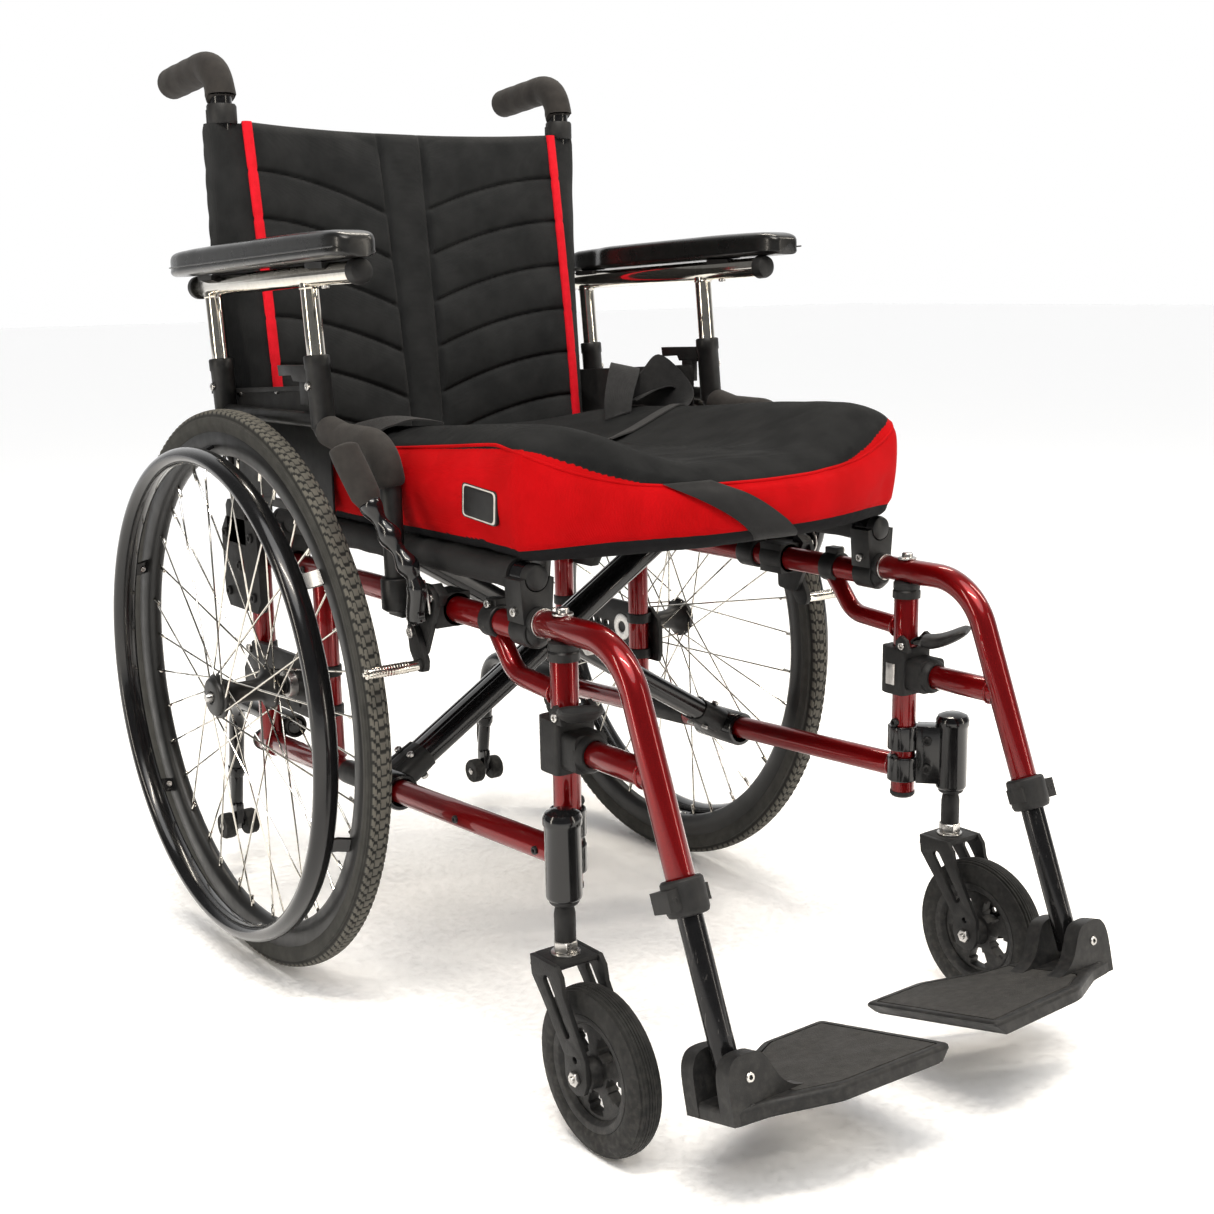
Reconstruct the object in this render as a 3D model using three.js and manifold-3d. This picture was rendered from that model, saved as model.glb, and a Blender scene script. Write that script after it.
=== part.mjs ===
// A folding manual wheelchair, in millimetres. +Z is up, the chair faces -Y, and the user's right hand
// is at -X. One side is designed at +X with y = 0 at the rear axle, and a mirrored group gives the other.
// The whole chair is then moved along Y, so that the origin lies under the middle of its bounding box.
import * as THREE from "three";
import { mergeVertices } from "three/addons/utils/BufferGeometryUtils.js";
import Module from "manifold-3d";

const wasm = await Module();
wasm.setup();

// ---------- driving dimensions ----------
const AXLE_Y = 244; // from the origin back to the rear axle
const GAP = 0.3; // air left between neighbouring pieces

const SIDE_X = 212; // plane of each side frame's tubes
const TUBE_R = 12.5;
const UPPER_Z = 436; // upper side tube
const FRONT_Y = -503; // front upright, which is also the hanger's pivot
const FRONT_BOTTOM_Z = 214;
const FRONT_TOP_Z = 425;
const LOWER_Z = 215; // lower rail's height at the rear axle
const LOWER_SLOPE = -0.0475; // it climbs towards the front
const REAR_Y = 108; // rear upright
const MIDDLE_Y = -52; // second upright, ahead of the axle

const WHEEL_X = 285;
const WHEEL_R = 305;
const TYRE_IN_R = 279.4;
const TYRE_WIDTH = 26;
const RIM_IN_R = 255;
const RIM_WIDTH = 20;
const HANDRIM_X = 323;
const HANDRIM_R = 259;
const SPOKES = 18; // every second spoke of the real 36
const SPOKE_R = 1.2;
const FLANGE_R = 24;
const WHEEL_SEGMENTS = 36; // shared by rim and tyre, so that their facets lie side by side

const SWIVEL_X = 244;
const SWIVEL_Y = -541;
const HOUSING_BOTTOM_Z = 218;
const HOUSING_TOP_Z = 291;
const CASTER_R = 76;
const CASTER_TRAIL = -47; // the casters lie swung forward
const CASTER_WIDTH = 28;
const CASTER_SEGMENTS = 20;

const RAIL_R = 12; // seat rails
const RAIL_Z = 484;
const BRACE_LOW_Z = 224; // brace sleeves turn about the lower rails at this height
const BRACE_RIGHT_Y = -170;
const BRACE_LEFT_Y = -214;
const BRACE_DEPTH = 40;
const BRACE_THICK = 24;

const HANGER_Z = 445;
const LEG_LEAN = 0.4; // forward travel of the hanger's leg for each millimetre down
const LEG_POINT = [-665, 255]; // a point on the leg's axis, as y and z
const EXTENSION_R = 11;
const PIN = [214, -719, 117]; // the footplate's pivot pin
const PLATE_TILT = THREE.MathUtils.degToRad(13.3);
const PLATE_DROP = 21.4; // from the pin down to the plate's tread
const PLATE_THICK = 14;
const PLATE_INNER_X = 27.5; // the two plates pass each other while the chair folds

const ARM_X = 250;
const ARM_Z = 739; // armrest tube's height above the rear axle's line
const ARM_RISE = 0.036;
const POST_LEAN = 0.1045; // the posts' tops lean back
const POST_R = 9.4;

const BACK_X = 221;
const BACK_Y = 108;
const GRIP_R = 16;

const TIP_X = 187;
const TIP_Y = 285;
const TIP_WHEEL_Z = 58;
const TIP_WHEEL_R = 16.5;

// ---------- geometry helpers ----------
// A polyline with its corners already rounded, swept as it stands: one section at each point.
class BentPath extends THREE.Curve {
  constructor(points) {
    super();
    this.points = points;
  }
  getPoint(t, target = new THREE.Vector3()) {
    const at = t * (this.points.length - 1);
    const i = Math.min(Math.floor(at), this.points.length - 2);
    return target.copy(this.points[i]).lerp(this.points[i + 1], at - i);
  }
  getPointAt(t, target) {
    return this.getPoint(t, target);
  }
  getTangentAt(t, target = new THREE.Vector3()) {
    const i = Math.round(t * (this.points.length - 1));
    const before = this.points[Math.max(i - 1, 0)];
    const here = this.points[i];
    const after = this.points[Math.min(i + 1, this.points.length - 1)];
    const arriving = here.clone().sub(before).normalize();
    const leaving = after.clone().sub(here).normalize();
    return target.copy(arriving).add(leaving).normalize();
  }
}

const vector = ([x, y, z]) => new THREE.Vector3(x, y, z);

// Corner points joined by straights, each inner corner rounded to the given radius.
function roundedPath(corners, radius, bendSteps = 5) {
  const points = [vector(corners[0])];
  for (let i = 1; i < corners.length - 1; i++) {
    const corner = vector(corners[i]);
    const back = vector(corners[i - 1]).sub(corner).normalize();
    const ahead = vector(corners[i + 1]).sub(corner).normalize();
    const half = back.angleTo(ahead) / 2;
    const reach = radius / Math.tan(half);
    const middle = back.clone().add(ahead).normalize().multiplyScalar(radius / Math.sin(half));
    const centre = corner.clone().add(middle);
    const from = corner.clone().addScaledVector(back, reach).sub(centre);
    const to = corner.clone().addScaledVector(ahead, reach).sub(centre);
    const axis = from.clone().cross(to).normalize();
    const turn = from.angleTo(to);
    for (let k = 0; k <= bendSteps; k++) {
      points.push(from.clone().applyAxisAngle(axis, (turn * k) / bendSteps).add(centre));
    }
  }
  points.push(vector(corners[corners.length - 1]));
  return points;
}

function disc(radiusX, radiusY = radiusX, sides = 10) {
  const shape = new THREE.Shape();
  for (let i = 0; i < sides; i++) {
    const angle = (2 * Math.PI * (i + 0.5)) / sides;
    const x = radiusX * Math.cos(angle);
    const y = radiusY * Math.sin(angle);
    if (i === 0) shape.moveTo(x, y);
    else shape.lineTo(x, y);
  }
  shape.closePath();
  return shape;
}

function sweep(points, shape) {
  return new THREE.ExtrudeGeometry(shape, {
    steps: points.length - 1,
    bevelEnabled: false,
    extrudePath: new BentPath(points),
  });
}

function bentTube(corners, tubeRadius, bendRadius, sides = 10, bendSteps = 4) {
  return sweep(roundedPath(corners, bendRadius, bendSteps), disc(tubeRadius, tubeRadius, sides));
}

function rod(from, to, radius, sides = 10, endRadius = radius) {
  const start = vector(from);
  const along = vector(to).sub(start);
  const geometry = new THREE.CylinderGeometry(endRadius, radius, along.length(), sides);
  geometry.translate(0, along.length() / 2, 0);
  const turn = new THREE.Quaternion().setFromUnitVectors(new THREE.Vector3(0, 1, 0), along.normalize());
  return geometry.applyQuaternion(turn).translate(start.x, start.y, start.z);
}

function block(x0, x1, y0, y1, z0, z1) {
  const geometry = new THREE.BoxGeometry(x1 - x0, y1 - y0, z1 - z0);
  return geometry.translate((x0 + x1) / 2, (y0 + y1) / 2, (z0 + z1) / 2);
}

function outline(points) {
  const shape = new THREE.Shape();
  points.forEach(([x, y], i) => {
    if (i === 0) shape.moveTo(x, y);
    else shape.lineTo(x, y);
  });
  shape.closePath();
  return shape;
}

// A flat plate standing in the YZ plane: its outline is given as (y, z) and its thickness runs along X.
function sidePlate(points, x0, x1) {
  const geometry = new THREE.ExtrudeGeometry(outline(points), { depth: x1 - x0, bevelEnabled: false });
  // the outline's (x, y) turn into (Y, Z), and the depth into X
  const turn = new THREE.Matrix4().makeBasis(
    new THREE.Vector3(0, 1, 0),
    new THREE.Vector3(0, 0, 1),
    new THREE.Vector3(1, 0, 0),
  );
  return geometry.applyMatrix4(turn).translate(x0, 0, 0);
}

// A solid of revolution about an axis along X: the profile is a closed list of (radius, x).
function turned(profile, y, z, segments) {
  const points = profile.map(([radius, x]) => new THREE.Vector2(radius, x));
  const geometry = new THREE.LatheGeometry(points, segments);
  return geometry.rotateZ(-Math.PI / 2).translate(0, y, z);
}

function solid(geometry) {
  const bare = geometry.clone();
  bare.deleteAttribute("normal");
  bare.deleteAttribute("uv");
  const merged = mergeVertices(bare, 1e-4);
  const made = new wasm.Manifold(
    new wasm.Mesh({
      numProp: 3,
      vertProperties: merged.attributes.position.array,
      triVerts: new Uint32Array(merged.index.array),
    }),
  );
  if (made.volume() > 0) return made;
  const flipped = new Uint32Array(merged.index.array);
  for (let i = 0; i < flipped.length; i += 3) {
    [flipped[i + 1], flipped[i + 2]] = [flipped[i + 2], flipped[i + 1]];
  }
  return new wasm.Manifold(
    new wasm.Mesh({ numProp: 3, vertProperties: merged.attributes.position.array, triVerts: flipped }),
  );
}

// Joins the added shapes and takes the removed ones away.
function carve(added, removed = []) {
  let body = added.map(solid).reduce((sum, piece) => sum.add(piece));
  removed.map(solid).forEach((piece) => {
    body = body.subtract(piece);
  });
  const mesh = body.getMesh();
  const geometry = new THREE.BufferGeometry();
  const positions = new Float32Array(mesh.numVert * 3);
  for (let i = 0; i < mesh.numVert; i++) {
    positions.set(mesh.vertProperties.subarray(i * mesh.numProp, i * mesh.numProp + 3), i * 3);
  }
  geometry.setAttribute("position", new THREE.BufferAttribute(positions, 3));
  geometry.setIndex(new THREE.BufferAttribute(mesh.triVerts, 1));
  geometry.computeVertexNormals();
  return geometry;
}

// ---------- finishes ----------
const finish = (color, roughness, metalness) => ({ color, roughness, metalness });
const RED = finish(0x8c0007, 0.25, 0.5);
const BLACK_GLOSS = finish(0x0c0c0d, 0.3, 0.3);
const BLACK = finish(0x161617, 0.55, 0.1);
const CHROME = finish(0xcfcfcf, 0.12, 1);
const FOAM = finish(0x3a3836, 0.9, 0);
const TYRE_GREY = finish(0x5b5b58, 0.95, 0);
const CASTER_BLACK = finish(0x232322, 0.9, 0);
const FABRIC = finish(0x2f3132, 0.95, 0);
const CUSHION_RED = finish(0xc0000e, 0.85, 0);

const lowerRailZ = (y) => LOWER_Z + LOWER_SLOPE * y;
const legY = (z) => LEG_POINT[0] + LEG_LEAN * (z - LEG_POINT[1]);
const armZ = (y) => ARM_Z - ARM_RISE * y;

// ---------- side frame ----------
const SADDLE_YS = [-452, 20];

function sideFrame() {
  const rail = [SIDE_X, FRONT_Y, lowerRailZ(FRONT_Y)];
  const added = [
    rod(rail, [SIDE_X, REAR_Y + 24, lowerRailZ(REAR_Y + 24)], TUBE_R),
    rod([SIDE_X, FRONT_Y, FRONT_BOTTOM_Z], [SIDE_X, FRONT_Y, FRONT_TOP_Z], TUBE_R, 12),
    rod([SIDE_X, FRONT_Y + 40, UPPER_Z], [SIDE_X, REAR_Y, UPPER_Z], TUBE_R),
    rod([SIDE_X, REAR_Y, lowerRailZ(REAR_Y)], [SIDE_X, REAR_Y, UPPER_Z + 12], TUBE_R),
    rod([SIDE_X, MIDDLE_Y, lowerRailZ(MIDDLE_Y)], [SIDE_X, MIDDLE_Y, UPPER_Z], TUBE_R),
    // the curved gusset that ties the upper tube to the front upright
    bentTube(
      [
        [SIDE_X, -392, UPPER_Z - 2],
        [SIDE_X, -428, 391],
        [SIDE_X, FRONT_Y, 386],
      ],
      9.5,
      30,
      8,
    ),
    // lug that carries the anti-tip tube's socket
    block(TIP_X - 4, SIDE_X, REAR_Y - 9, REAR_Y + 9, 217, 239),
    rod([TIP_X, REAR_Y - 16, 228], [TIP_X, REAR_Y + 34, 228], 14),
  ];
  SADDLE_YS.forEach((y) => {
    added.push(block(SIDE_X - 17, SIDE_X + 17, y - 10, y + 10, UPPER_Z + 4, RAIL_Z));
  });
  const removed = [
    // bore for the hanger's pivot pin
    rod([SIDE_X, FRONT_Y, 372], [SIDE_X, FRONT_Y, FRONT_TOP_Z + 1], 8.8, 16),
    // bore for the anti-tip tube
    rod([TIP_X, REAR_Y - 20, 228], [TIP_X, REAR_Y + 40, 228], 10.6, 16),
  ];
  SADDLE_YS.forEach((y) => {
    removed.push(rod([SIDE_X, y - 20, RAIL_Z], [SIDE_X, y + 20, RAIL_Z], RAIL_R + 0.7, 16));
  });
  return carve(added, removed);
}

// A casting that clamps the back post to the head of the rear upright.
function rearBracket() {
  return carve(
    [block(SIDE_X - 16, BACK_X + 17, 84, 134, UPPER_Z + 13, 500), block(225, 238, 56, 150, 372, 480)],
    [
      rod([BACK_X, BACK_Y, 440], [BACK_X, BACK_Y, 520], 13, 16),
      rod([SIDE_X, 40, UPPER_Z], [SIDE_X, REAR_Y + 60, UPPER_Z], TUBE_R + GAP, 16),
    ],
  );
}

function axlePlate() {
  const added = [
    sidePlate(
      [
        [-72, 272],
        [122, 272],
        [128, 300],
        [96, 338],
        [-58, 338],
        [-76, 312],
      ],
      SIDE_X + TUBE_R + 1,
      SIDE_X + TUBE_R + 7,
    ),
    rod([SIDE_X + TUBE_R + 4, 0, WHEEL_R], [241.5, 0, WHEEL_R], 15, 16),
  ];
  // a row of spare axle positions on each side of the receiver
  const holes = [-50, -34, 34, 50, 66].map((y) =>
    rod([SIDE_X, y, WHEEL_R], [SIDE_X + 40, y, WHEEL_R], 5, 8),
  );
  return carve(added, holes);
}

function backPost() {
  return carve([
    bentTube(
      [
        [BACK_X, BACK_Y, 449.5],
        [BACK_X, BACK_Y, 972],
        [BACK_X + 2, 232, 961],
      ],
      11.5,
      34,
      10,
      5,
    ),
  ]);
}

// The grip is slid over the post's handle, closed at its tip.
function pushGrip() {
  const corners = [
    [BACK_X, BACK_Y, 922],
    [BACK_X, BACK_Y, 972],
    [BACK_X + 2, 246, 960],
  ];
  const bore = [
    [BACK_X, BACK_Y, 920],
    [BACK_X, BACK_Y, 972],
    [BACK_X + 2, 234, 960.9],
  ];
  return carve([bentTube(corners, GRIP_R, 34, 10, 5)], [bentTube(bore, 12, 34, 10, 5)]);
}

// ---------- rear wheel ----------
function rearWheel() {
  const rimSide = RIM_WIDTH / 2;
  const hub = turned(
    [
      [0, 242],
      [11, 242],
      [13, 252],
      [FLANGE_R - 1, 259],
      [FLANGE_R, 262],
      [15, 266],
      [12, 290],
      [15, 314],
      [FLANGE_R, 317],
      [FLANGE_R, 320],
      [20, 326],
      [0, 326],
    ],
    0,
    WHEEL_R,
    14,
  );
  const rim = turned(
    [
      [RIM_IN_R, WHEEL_X - 5],
      [RIM_IN_R + 9, WHEEL_X - rimSide],
      [TYRE_IN_R - 0.4, WHEEL_X - rimSide],
      [TYRE_IN_R - 0.4, WHEEL_X + rimSide],
      [RIM_IN_R + 9, WHEEL_X + rimSide],
      [RIM_IN_R, WHEEL_X + 5],
      [RIM_IN_R, WHEEL_X - 5],
    ],
    0,
    WHEEL_R,
    WHEEL_SEGMENTS,
  );
  const added = [hub, rim];
  for (let i = 0; i < SPOKES; i++) {
    const outer = i % 2;
    const crossing = Math.floor(i / 2) % 2 ? 1 : -1;
    const rimAngle = (2 * Math.PI * i) / SPOKES;
    const hubAngle = rimAngle + crossing * 1.1;
    // crossing spokes leave the flange on its two faces, so that they pass beside each other
    const x = (outer ? 318.5 : 261) + crossing * 1.6;
    const from = [x, (FLANGE_R - 4) * Math.cos(hubAngle), WHEEL_R + (FLANGE_R - 4) * Math.sin(hubAngle)];
    const reach = RIM_IN_R + 3;
    const to = [WHEEL_X + (outer ? 2 : -2), reach * Math.cos(rimAngle), WHEEL_R + reach * Math.sin(rimAngle)];
    added.push(rod(from, to, SPOKE_R, 3));
  }
  return carve(added, [rod([312, 0, WHEEL_R], [330, 0, WHEEL_R], 6.4, 12)]);
}

// The release button at the end of the quick-release axle.
function axleButton() {
  return carve([
    rod([315.5, 0, WHEEL_R], [331, 0, WHEEL_R], 5.6, 12),
    rod([330.5, 0, WHEEL_R], [334, 0, WHEEL_R], 5.6, 12, 4),
  ]);
}

function ringTyre(innerR, outerR, centreX, width, y, z, segments) {
  const half = width / 2;
  const shoulder = (outerR - innerR) * 0.45;
  return turned(
    [
      [innerR, centreX - half * 0.75],
      [outerR - shoulder, centreX - half],
      [outerR - shoulder * 0.25, centreX - half * 0.6],
      [outerR, centreX],
      [outerR - shoulder * 0.25, centreX + half * 0.6],
      [outerR - shoulder, centreX + half],
      [innerR, centreX + half * 0.75],
      [innerR, centreX - half * 0.75],
    ],
    y,
    z,
    segments,
  );
}

function rearTyre() {
  return ringTyre(TYRE_IN_R, WHEEL_R, WHEEL_X, TYRE_WIDTH, 0, WHEEL_R, WHEEL_SEGMENTS);
}

// The handrim's section is a flattened oval, and six tabs stand off the rim's face.
function handrim() {
  const section = [];
  const sides = 8;
  for (let i = 0; i <= sides; i++) {
    const angle = (2 * Math.PI * (i % sides)) / sides;
    section.push([HANDRIM_R + 8.5 * Math.cos(angle), HANDRIM_X - 13 * Math.sin(angle)]);
  }
  const added = [turned(section, 0, WHEEL_R, WHEEL_SEGMENTS)];
  const tabs = 6;
  const rimFace = WHEEL_X + RIM_WIDTH / 2 + 3.5;
  for (let i = 0; i < tabs; i++) {
    const angle = (2 * Math.PI * (i + 0.4)) / tabs;
    const at = (x, radius) => [x, radius * Math.cos(angle), WHEEL_R + radius * Math.sin(angle)];
    added.push(rod(at(rimFace, HANDRIM_R + 5), at(HANDRIM_X - 6, HANDRIM_R + 1), 4.5, 4));
  }
  return carve(added);
}

// ---------- caster ----------
function casterHousing() {
  const profile = [
    [0, HOUSING_BOTTOM_Z],
    [14.5, HOUSING_BOTTOM_Z],
    [16, HOUSING_BOTTOM_Z + 3],
    [16, HOUSING_TOP_Z],
    [12, HOUSING_TOP_Z + 6],
    [0, HOUSING_TOP_Z + 8],
  ].map(([r, z]) => new THREE.Vector2(r, z));
  const barrel = new THREE.LatheGeometry(profile, 18).rotateX(Math.PI / 2).translate(SWIVEL_X, SWIVEL_Y, 0);
  const towards = new THREE.Vector2(SWIVEL_X - SIDE_X, SWIVEL_Y - FRONT_Y);
  const arm = block(0, towards.length(), -11, 11, HOUSING_BOTTOM_Z + 5, HOUSING_TOP_Z - 6);
  arm.rotateZ(towards.angle()).translate(SIDE_X, FRONT_Y, 0);
  return carve(
    [barrel, arm],
    [
      rod([SIDE_X, FRONT_Y, 200], [SIDE_X, FRONT_Y, 310], TUBE_R + 0.5, 24),
      rod([SWIVEL_X, SWIVEL_Y, 200], [SWIVEL_X, SWIVEL_Y, HOUSING_TOP_Z - 4], 7, 14),
    ],
  );
}

function casterFork() {
  const axleY = SWIVEL_Y + CASTER_TRAIL;
  const inner = CASTER_WIDTH / 2 + 6;
  const outer = inner + 5;
  const crownY = SWIVEL_Y + 17;
  const leg = [
    [crownY, 168],
    [crownY - 36, 168],
    [crownY - 46, 150],
    [axleY - 15, 84],
    [axleY - 12, 66],
    [axleY + 2, 61],
    [axleY + 14, 69],
    [axleY + 17, 84],
    [crownY - 4, 140],
  ];
  const added = [
    sidePlate(leg, SWIVEL_X + inner, SWIVEL_X + outer),
    sidePlate(leg, SWIVEL_X - outer, SWIVEL_X - inner),
    block(SWIVEL_X - outer, SWIVEL_X + outer, crownY - 36, crownY, 162, 168),
    rod([SWIVEL_X, SWIVEL_Y, 165], [SWIVEL_X, SWIVEL_Y, HOUSING_TOP_Z - 8], 6.2, 12),
    rod([SWIVEL_X, SWIVEL_Y, 168], [SWIVEL_X, SWIVEL_Y, 182], 11, 6),
    rod([SWIVEL_X - outer - 4, axleY, CASTER_R], [SWIVEL_X + outer + 4, axleY, CASTER_R], 4.2, 10),
  ];
  // the long adjustment slot in each leg
  const slot = sidePlate(
    [
      [SWIVEL_Y - 4, 146],
      [SWIVEL_Y - 12, 146],
      [axleY + 6, 100],
      [axleY + 14, 100],
    ],
    SWIVEL_X - outer - 1,
    SWIVEL_X + outer + 1,
  );
  return carve(added, [slot]);
}

function casterWheel() {
  const y = SWIVEL_Y + CASTER_TRAIL;
  const profile = [
    [4.8, -18],
    [12, -18],
    [14, -7],
    [43, -6],
    [51.8, -12],
    [51.8, 12],
    [43, 6],
    [14, 7],
    [12, 18],
    [4.8, 18],
    [4.8, -18],
  ].map(([r, x]) => [r, x + SWIVEL_X]);
  const openings = [];
  for (let i = 0; i < 5; i++) {
    const angle = (2 * Math.PI * i) / 5 + 0.3;
    const at = [y + 28 * Math.cos(angle), CASTER_R + 28 * Math.sin(angle)];
    openings.push(rod([SWIVEL_X - 20, ...at], [SWIVEL_X + 20, ...at], 9, 6));
  }
  return carve([turned(profile, y, CASTER_R, CASTER_SEGMENTS)], openings);
}

function casterTyre() {
  return ringTyre(52.2, CASTER_R, SWIVEL_X, CASTER_WIDTH, SWIVEL_Y + CASTER_TRAIL, CASTER_R, CASTER_SEGMENTS);
}

// ---------- hanger and footplate ----------
function hanger() {
  const bottomZ = 240;
  const leg = [SIDE_X, legY(bottomZ), bottomZ];
  const kneeZ = HANGER_Z;
  const tube = bentTube(
    [[SIDE_X, FRONT_Y + 35, HANGER_Z], [SIDE_X, legY(kneeZ), kneeZ], leg],
    TUBE_R,
    65,
    12,
    6,
  );
  const added = [
    tube,
    rod([SIDE_X, -534, 342], [SIDE_X, legY(342), 342], 12),
    // pivot pin that drops into the front upright, with its shoulder
    rod([SIDE_X, FRONT_Y, 378], [SIDE_X, FRONT_Y, HANGER_Z], 8, 12),
    rod([SIDE_X, FRONT_Y, FRONT_TOP_Z + 1], [SIDE_X, FRONT_Y, HANGER_Z], 12.5, 12),
    rod([SIDE_X, FRONT_Y, HANGER_Z], [SIDE_X, FRONT_Y, 460], 6, 10),
    // clamp collar at the leg's end
    rod([SIDE_X, legY(264), 264], [SIDE_X, legY(236), 236], 18.5, 16),
  ];
  const bore = rod([SIDE_X, legY(372), 372], [SIDE_X, legY(220), 220], EXTENSION_R + 0.6, 12);
  return carve(added, [bore]);
}

function hangerLatch() {
  return carve(
    [
      rod([SIDE_X, FRONT_Y, 318], [SIDE_X, FRONT_Y, 368], 19, 16),
      block(SIDE_X - 15, SIDE_X + 15, -545, FRONT_Y - 8, 326, 360),
    ],
    [
      rod([SIDE_X, FRONT_Y, 300], [SIDE_X, FRONT_Y, 380], TUBE_R + 0.6, 24),
      rod([SIDE_X, -533, 342], [SIDE_X, -560, 342], 12.4, 16),
    ],
  );
}

// The winged lever that frees the hanger, hinged on top of the latch casting.
function latchLever() {
  return carve([
    sidePlate(
      [
        [-519, 370],
        [-540, 369],
        [-574, 382],
        [-580, 389],
        [-574, 391],
        [-548, 382],
        [-527, 381],
      ],
      SIDE_X - 14,
      SIDE_X + 14,
    ),
  ]);
}

// Its top stays short of the hanger's bore end, so that the tube can be pushed up by 50 mm.
function extensionTube() {
  const top = 318;
  const end = 106;
  return carve([rod([SIDE_X, legY(top), top], [SIDE_X, legY(end), end], EXTENSION_R, 12)]);
}

// Built flat about its pivot pin, then tilted with its front edge up. The tread is a plate on the pin's
// inner side, and two raised cheeks hold the extension tube between them.
function footplate() {
  const [pinX] = PIN;
  const top = -PLATE_DROP;
  const tread = outline([
    [PLATE_INNER_X, 92],
    [100, 92],
    [150, 61],
    [208, 38],
    [236, 34],
    [236, -30],
    [202, -36],
    [150, -63],
    [PLATE_INNER_X, -69],
  ]);
  const plate = new THREE.ExtrudeGeometry(tread, { depth: PLATE_THICK, bevelEnabled: false });
  plate.translate(-pinX, 0, top - PLATE_THICK);
  const cheek = [
    [-40, top - 2],
    [-30, top + 4],
    [-20, 12],
    [-10, 19],
    [14, 19],
    [22, 8],
    [22, top - PLATE_THICK],
    [-40, top - PLATE_THICK],
  ];
  const cheekAt = (y0, y1) => {
    const geometry = new THREE.ExtrudeGeometry(outline(cheek), { depth: y1 - y0, bevelEnabled: false });
    return geometry.rotateX(Math.PI / 2).translate(0, y1, 0);
  };
  const added = [plate, cheekAt(-30, -14), cheekAt(15, 31), rod([0, -33, 0], [0, 33, 0], 4, 8)];
  // the heel of the extension tube hangs through a pocket between the cheeks
  const pocket = block(-19, 30, -14, 15, -19, 40);
  // the inner edge's underside is cut back, so that the two plates pass each other while they turn
  const inner = PLATE_INNER_X - pinX;
  const wedge = new THREE.ExtrudeGeometry(
    outline([
      [inner - 1, top],
      [inner - 1, top - PLATE_THICK - 1],
      [inner + 16, top - PLATE_THICK - 1],
    ]),
    { depth: 200, bevelEnabled: false },
  );
  wedge.rotateX(Math.PI / 2).translate(0, 110, 0);
  const tubeEnd = rod([-2, 8, 30], [-2, -8, -18], EXTENSION_R + 1.5, 14);
  const geometry = carve(added, [pocket, wedge, tubeEnd]);
  return geometry.rotateX(-PLATE_TILT).translate(...PIN);
}

// ---------- armrest ----------
const postPoint = (y700, z) => [ARM_X, y700 + POST_LEAN * (z - 700), z];
const FRONT_POST_Y = -139;
const REAR_POST_Y = 94;

function armRail() {
  return carve([
    rod([ARM_X, 136, armZ(136)], [ARM_X, -246, armZ(-246)], 10, 14),
    rod(postPoint(FRONT_POST_Y, 615), postPoint(FRONT_POST_Y, 742), POST_R, 12),
    rod(postPoint(REAR_POST_Y, 600), postPoint(REAR_POST_Y, 734), POST_R, 12),
    block(ARM_X - 9, ARM_X + 13, 70, 110, 738, 750),
    block(ARM_X - 9, ARM_X + 13, -190, -150, 746, 757),
  ]);
}

function armPad() {
  const inner = 237;
  const outer = 287;
  // the inner edge narrows at the rear to pass outside the back post
  const shape = outline([
    [inner + 6, -276],
    [outer - 6, -276],
    [outer, -262],
    [outer, 122],
    [outer - 10, 142],
    [inner + 16, 142],
    [inner + 9, 128],
    [inner + 9, 74],
    [inner, 52],
    [inner, -262],
  ]);
  const pad = new THREE.ExtrudeGeometry(shape, {
    depth: 16,
    bevelEnabled: true,
    bevelThickness: 5,
    bevelSize: 0,
    bevelOffset: -1,
    bevelSegments: 2,
  });
  pad.translate(0, 0, 5).rotateX(-Math.atan(ARM_RISE));
  return carve([pad.translate(0, 0, armZ(0) + 12)], [
    block(ARM_X - 9.5, ARM_X + 13.5, 69, 111, 730, 750.4),
    block(ARM_X - 9.5, ARM_X + 13.5, -191, -149, 730, 757.4),
  ]);
}

function armReceiver() {
  const added = [
    rod(postPoint(FRONT_POST_Y, 668), postPoint(FRONT_POST_Y, 596), 12.2, 14),
    rod(postPoint(REAR_POST_Y, 658), postPoint(REAR_POST_Y, 588), 12.2, 14),
    // the padded tube that sweeps forward and down to the socket on the side frame
    bentTube(
      [
        postPoint(FRONT_POST_Y, 612),
        [ARM_X, -152, 590],
        [ARM_X - 2, -272, 582],
        [ARM_X - 5, -268, 452],
      ],
      10.5,
      20,
      8,
      3,
    ),
    bentTube(
      [
        postPoint(FRONT_POST_Y, 606),
        [ARM_X, -152, 590],
        [ARM_X - 2, -272, 582],
        [ARM_X - 3, -271, 552],
      ],
      14,
      20,
      10,
      3,
    ),
    block(225.2, ARM_X - 3, -281, -255, 428, 466),
    rod(postPoint(FRONT_POST_Y, 604), postPoint(REAR_POST_Y, 602), 7, 10),
  ];
  return carve(added, [
    rod(postPoint(FRONT_POST_Y, 610), postPoint(FRONT_POST_Y, 700), POST_R + 0.5, 14),
    rod(postPoint(REAR_POST_Y, 596), postPoint(REAR_POST_Y, 700), POST_R + 0.5, 14),
  ]);
}

function sideGuard() {
  return carve([
    sidePlate(
      [
        [-138, 500],
        [60, 500],
        [148, 560],
        [148, 624],
        [-138, 640],
      ],
      234.4,
      237.3,
    ),
  ], [block(230, 236.2, 84, 134, 490, 700)]);
}

// ---------- wheel lock ----------
const LOCK_PIVOT = [-318, 436];
const SHOE_PIVOT = [-300, 414];

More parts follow.
